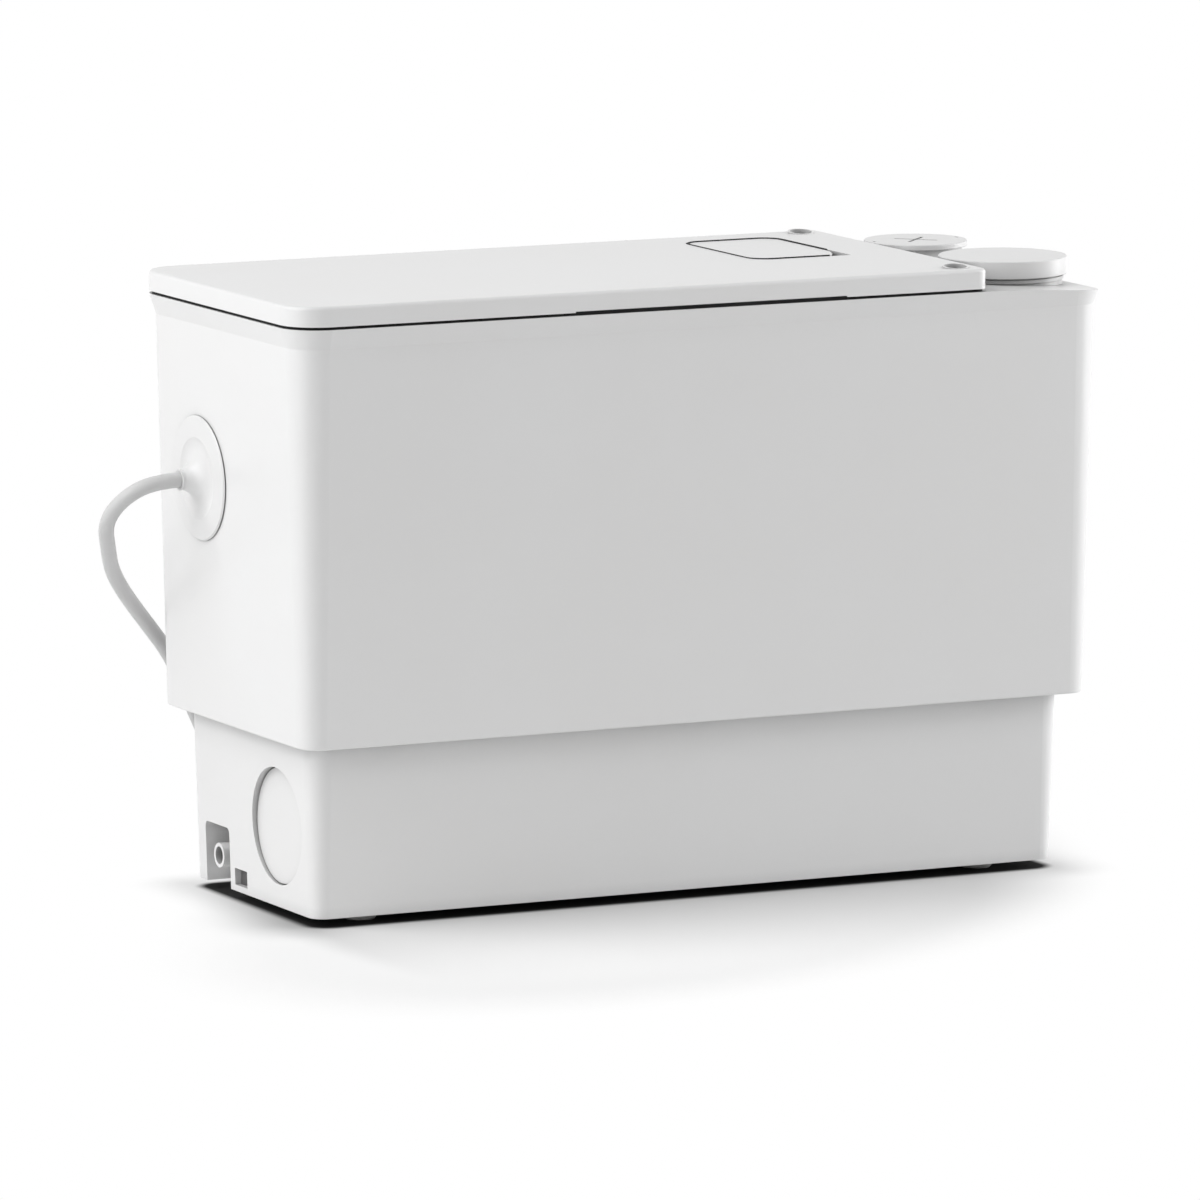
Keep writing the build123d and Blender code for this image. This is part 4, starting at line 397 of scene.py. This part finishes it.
# Mains cable: its route from the grommet down to the floor, its coil behind the station, in
# two layers, and its tail up into the plug
CABLE_DIAMETER = 0.0065
CABLE_ROUNDNESS = 6
CABLE_STEPS = 6
COIL_X = 0.004
COIL_START_Y = 0.082
COIL_RADIUS = 0.044
COIL_STEP = 0.0036
COIL_CLIMB = 0.0072
COIL_HALF_TURNS = 6
COIL_UPPER_LAYER = 3
COIL_POINTS = 8
PLUG_ASIDE = 0.003
PLUG_HEIGHT = 0.019
cable_route = [
    (-0.1927035, 0.0256, 0.1759637),
    (-0.2056995, 0.0256, 0.1756395),
    (-0.2167, 0.0306, 0.1683),
    (-0.2200, 0.0397, 0.1579),
    (-0.2121, 0.0546, 0.1448),
    (-0.2049, 0.0676, 0.1335),
    (-0.1943, 0.0785, 0.1217),
    (-0.1807, 0.0883, 0.1079),
    (-0.1648, 0.0960, 0.0904),
    (-0.1521, 0.1015, 0.0651),
    (-0.1385, 0.1035, 0.0380),
    (-0.1170, 0.1015, 0.0150),
    (-0.0900, 0.0965, 0.0042),
    (-0.0580, 0.0890, 0.00335),
    (-0.0260, 0.0820, 0.00325),
    (-0.0025, 0.0820, 0.00325),
]


def coil_points():
    """Half turns that spiral in on the floor, climb a layer and spiral out again."""
    points = []
    start = Vector((COIL_X, COIL_START_Y, CABLE_DIAMETER / 2))
    radius = COIL_RADIUS
    across = 1
    for half_turn in range(COIL_HALF_TURNS):
        climb = COIL_CLIMB if half_turn == COIL_UPPER_LAYER else 0.0
        reach = math.sqrt((2 * radius) ** 2 - climb**2)
        end = start + Vector((0, across * reach, climb))
        centre = (start + end) / 2
        spread = 1 / math.cos(math.pi / (2 * COIL_POINTS))
        for step in range(COIL_POINTS):
            turn = math.pi * (step + 0.5) / COIL_POINTS
            out = Vector((across * radius * math.sin(turn), 0, 0))
            points.append(tuple(centre + spread * ((start - centre) * math.cos(turn) + out)))
        start = end
        across = -across
        radius += -COIL_STEP if half_turn < COIL_UPPER_LAYER else COIL_STEP
    return points, start


def tail_points(x, y, z):
    """From the coil's end along the upper layer, then up and straight into the plug."""
    return [
        (x + 0.0065, y, z),
        (x + 0.0255, y, z),
        (x + 0.0515, y + 0.0015, z + 0.0040),
        (x + 0.0785, y + PLUG_ASIDE, PLUG_HEIGHT),
        (x + 0.0985, y + PLUG_ASIDE, PLUG_HEIGHT),
    ]


turns, coil_end = coil_points()
cable_line = cable_route + turns + tail_points(*coil_end)
mains_cable = draw_line(
    "mains_cable", "NURBS", cable_line, CABLE_DIAMETER / 2, CABLE_ROUNDNESS
)
mains_cable.data.resolution_u = CABLE_STEPS
mains_cable.data.splines[0].order_u = 3
mains_cable.data.splines[0].use_endpoint_u = True
mains_cable.data.materials.append(finish_of["cable_white"])
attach(mains_cable, "station")
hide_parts("cable", "cable_coil", "cable_tail")

# Black bead along the seam round the hatch panel, which darkens the seam: it lies in the seam
# round the panel and ends at the finger notch
PANEL_CORNER = 0.0081
NOTCH_LENGTH = 0.0191
NOTCH_WIDTH = 0.0082
BEAD_RADIUS = 0.00045
BEAD_ROUNDNESS = 3
BEAD_OFFSET = 0.0005
BEAD_STEPS = 10
BEAD_MERGE = 0.00001


def bead_path():
    """From the notch's side end round three corners of the panel to the notch's front end."""
    low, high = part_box("hatch")
    right, front = high[0], low[1]
    left_centre, right_centre = low[0] + PANEL_CORNER, right - PANEL_CORNER
    front_centre, back_centre = front + PANEL_CORNER, high[1] - PANEL_CORNER
    turn = PANEL_CORNER + BEAD_OFFSET
    path = [(right + BEAD_OFFSET, front + NOTCH_LENGTH)]
    centres = (
        (right_centre, back_centre),
        (left_centre, back_centre),
        (left_centre, front_centre),
    )
    for quarter, (x, y) in enumerate(centres):
        for step in range(BEAD_STEPS + 1):
            angle = math.radians(90 * (quarter + step / BEAD_STEPS))
            path.append((x + turn * math.cos(angle), y + turn * math.sin(angle)))
    path.append((right - NOTCH_WIDTH, front - BEAD_OFFSET))
    return [(x, y, high[2]) for x, y in path]


def lay_seam_bead():
    """A round bead in the black rubber finish, half of it above the lid."""
    bead = draw_line("hatch_bead", "POLY", bead_path(), BEAD_RADIUS, BEAD_ROUNDNESS)
    bpy.ops.object.select_all(action="DESELECT")
    bead.select_set(True)
    bpy.context.view_layer.objects.active = bead
    bpy.ops.object.convert(target="MESH")
    bead = bpy.context.active_object
    bpy.ops.object.mode_set(mode="EDIT")
    bpy.ops.mesh.select_all(action="SELECT")
    bpy.ops.mesh.remove_doubles(threshold=BEAD_MERGE)
    bpy.ops.mesh.normals_make_consistent(inside=False)
    bpy.ops.object.mode_set(mode="OBJECT")
    bpy.ops.object.shade_smooth_by_angle()
    bead.data.materials.append(finish_of["seal_black"])
    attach(bead, "lid_set")


lay_seam_bead()

# Floor: its size in metres, how far above its lowest corner the tank still counts as base, and the
# greys of the open floor and of the painted shadow in the gap under the tank
FLOOR_SIZE = 24.0
BASE_LAYER = 0.0005
FLOOR_GREY = 0.92
PAINTED_GAP_SHADOW = 0.02
FLOOR_ROUGHNESS = 0.9
FLOOR_GLOSS = 0.1

# Painted shadow in the gap under the tank, dark up to its rounded corners
UNDER_EDGE = (-0.002, 0.004)
UNDER_CORNER = 0.009

# The shadow round the station is an oval that leans: its centre, its reach to a side, in front
# and behind, and between which shares of that reach it fades to white. It fades less near the tank
SHADOW_CENTRE = (-0.042, -0.092)
SHADOW_LENGTH = 0.225
SHADOW_AHEAD = 0.19
SHADOW_BEHIND = 0.32
SHADOW_SKEW = 0.5
SHADOW_FADE = (0.68, 1.0)
NEAR_EDGE = 0.030
NEAR_SHARE = 0.5

# Its darker core, a painted shadow: the reach to a side and in front, the shares of it where it
# fades, its depth
CORE_SIDE = 0.040
CORE_FRONT = 0.26
CORE_FADE = (-0.15, 0.56)
PAINTED_CORE_SHADE = 0.30

# A strip of painted shadow beside the left end: from the end outwards, away from the base, from
# the front edge backwards, its end at the back, and its depth
FLANK_EDGE = (-0.02, 0.01)
FLANK_REACH = (0.014, 0.042)
FLANK_START = (-0.032, 0.018)
FLANK_END = (0.0, 0.10)
PAINTED_FLANK_SHADE = 0.31


def base_half_size():
    """Half the length and half the depth of the tank's underside."""
    tank = nodes["tank"]
    corners = [tank.matrix_world @ vertex.co for vertex in tank.data.vertices]
    floor_gap = min(corner.z for corner in corners)
    base = [corner for corner in corners if corner.z < floor_gap + BASE_LAYER]
    return max(abs(corner.x) for corner in base), max(abs(corner.y) for corner in base)


def gap_edge(beside, before):
    """0 in the gap under the tank, where shadow is painted, and 1 outside it, with the tank's
    rounded corners.
    """
    round_side = (beside + UNDER_CORNER).maths("MAXIMUM", 0.0)
    round_front = (before + UNDER_CORNER).maths("MAXIMUM", 0.0)
    return (hypotenuse(round_side, round_front) - UNDER_CORNER).smooth(*UNDER_EDGE)


def oval_edge(across, along):
    """0 in the middle of the leaning oval and 1 outside it."""
    from_centre = along - SHADOW_CENTRE[1]
    sideways = (across - SHADOW_CENTRE[0] - from_centre * SHADOW_SKEW) / SHADOW_LENGTH
    behind = from_centre.maths("MAXIMUM", 0.0) / SHADOW_BEHIND
    ahead = (along * -1.0 + SHADOW_CENTRE[1]).maths("MAXIMUM", 0.0) / SHADOW_AHEAD
    return hypotenuse(sideways, behind, ahead).smooth(*SHADOW_FADE)


def lay_floor():
    """A pale floor: painted shadow in the gap under the tank, the shadow round it deepened with
    painted shadow, white farther out.
    """
    bpy.ops.object.select_all(action="DESELECT")
    bpy.ops.mesh.primitive_plane_add(size=FLOOR_SIZE, location=(0, 0, 0))
    floor = bpy.context.active_object
    floor.name = "studio_floor"
    look = Look("studio_floor")
    across = look.along("X")
    along = look.along("Y")
    half_length, half_depth = base_half_size()
    beside = across.maths("ABSOLUTE") - half_length
    before = along.maths("ABSOLUTE") - half_depth
    past_side = beside.maths("MAXIMUM", 0.0)
    past_front = before.maths("MAXIMUM", 0.0)
    apart = hypotenuse(past_side, past_front)
    near = 1.0 - apart.smooth(0.0, NEAR_EDGE)
    open_floor = gap_edge(beside, before)
    white_share = oval_edge(across, along) * (1.0 - NEAR_SHARE * near) * open_floor
    # Painted shadow: a darker strip on the floor beside the tank's left end
    painted_flank_shadow = (across * -1.0 - half_length).smooth(*FLANK_EDGE)
    painted_flank_shadow = painted_flank_shadow * (1.0 - apart.smooth(*FLANK_REACH))
    painted_flank_shadow = painted_flank_shadow * (along + half_depth).smooth(*FLANK_START)
    painted_flank_shadow = painted_flank_shadow * (1.0 - along.smooth(*FLANK_END))
    away = hypotenuse(past_side / CORE_SIDE, past_front / CORE_FRONT)
    # Painted shadow on the floor: a darker core near the base and a strip beside the left end,
    # only where the camera looks
    painted_shadow = (1.0 - away.smooth(*CORE_FADE)) * PAINTED_CORE_SHADE + painted_flank_shadow * PAINTED_FLANK_SHADE
    watched = look.watched()
    painted_shadow_colour = look.mix(painted_shadow * watched, grey(FLOOR_GREY), grey(0.0))
    # Painted shadow: almost black where the camera looks into the gap under the tank
    matt = look.principled(
        {
            "Base Color": look.mix((1.0 - open_floor) * watched, painted_shadow_colour, grey(PAINTED_GAP_SHADOW)),
            "Roughness": FLOOR_ROUGHNESS,
            "Specular IOR Level": FLOOR_GLOSS,
        }
    )
    white = look.node("ShaderNodeEmission", {}, {"Strength": 1.0})
    look.show(look.node("ShaderNodeMixShader", {}, {0: white_share * watched, 1: matt, 2: white}))
    floor.data.materials.append(look.material)


# Studio light: how bright the room is on the object, against 1 for the white behind it, and
# each lamp's place, the point that it faces and its size in metres, and its power in watts
AMBIENT = 0.22
WHITE = (1, 1, 1, 1)
LAMPS = {
    "left_softbox": ((-3.3, -0.4, 0.9), (0, 0, 0.13), (2.2, 2.0), 32),
    "right_softbox": ((3.3, -0.3, 0.5), (0, 0, 0.13), (2.0, 1.6), 74),
    "overhead_softbox": ((-1.5, 0.2, 1.7), (0, 0, 0.1), (1.6, 1.6), 29.5),
    "front_softbox": ((1.5, -1.05, 1.25), (0, 0, 0.12), (1.1, 1.1), 14.5),
}


def hang_lamp(name, place, aim, size, power):
    """A soft rectangular lamp that faces a point."""
    data = bpy.data.lights.new(name, "AREA")
    data.shape = "RECTANGLE"
    data.size, data.size_y = size
    data.energy = power
    lamp = bpy.data.objects.new(name, data)
    lamp.location = place
    lamp.rotation_euler = (Vector(aim) - Vector(place)).to_track_quat("-Z", "Y").to_euler()
    scene.collection.objects.link(lamp)


def light_studio():
    """A white backdrop, a dim room, and soft lamps at both sides, overhead and in front."""
    world = bpy.data.worlds.new("studio_world")
    world.use_nodes = True
    room = Tree(world.node_tree, "ShaderNodeOutputWorld")
    ambient = room.node("ShaderNodeBackground", {}, {"Color": WHITE, "Strength": AMBIENT})
    backdrop = room.node("ShaderNodeBackground", {}, {"Color": WHITE, "Strength": 1.0})
    sockets = {0: room.watched(), 1: ambient, 2: backdrop}
    room.show(room.node("ShaderNodeMixShader", {}, sockets))
    scene.world = world
    for name, lamp in LAMPS.items():
        hang_lamp(name, *lamp)


lay_floor()
light_studio()

scene.view_settings.view_transform = "Standard"
bpy.context.view_layer.update()
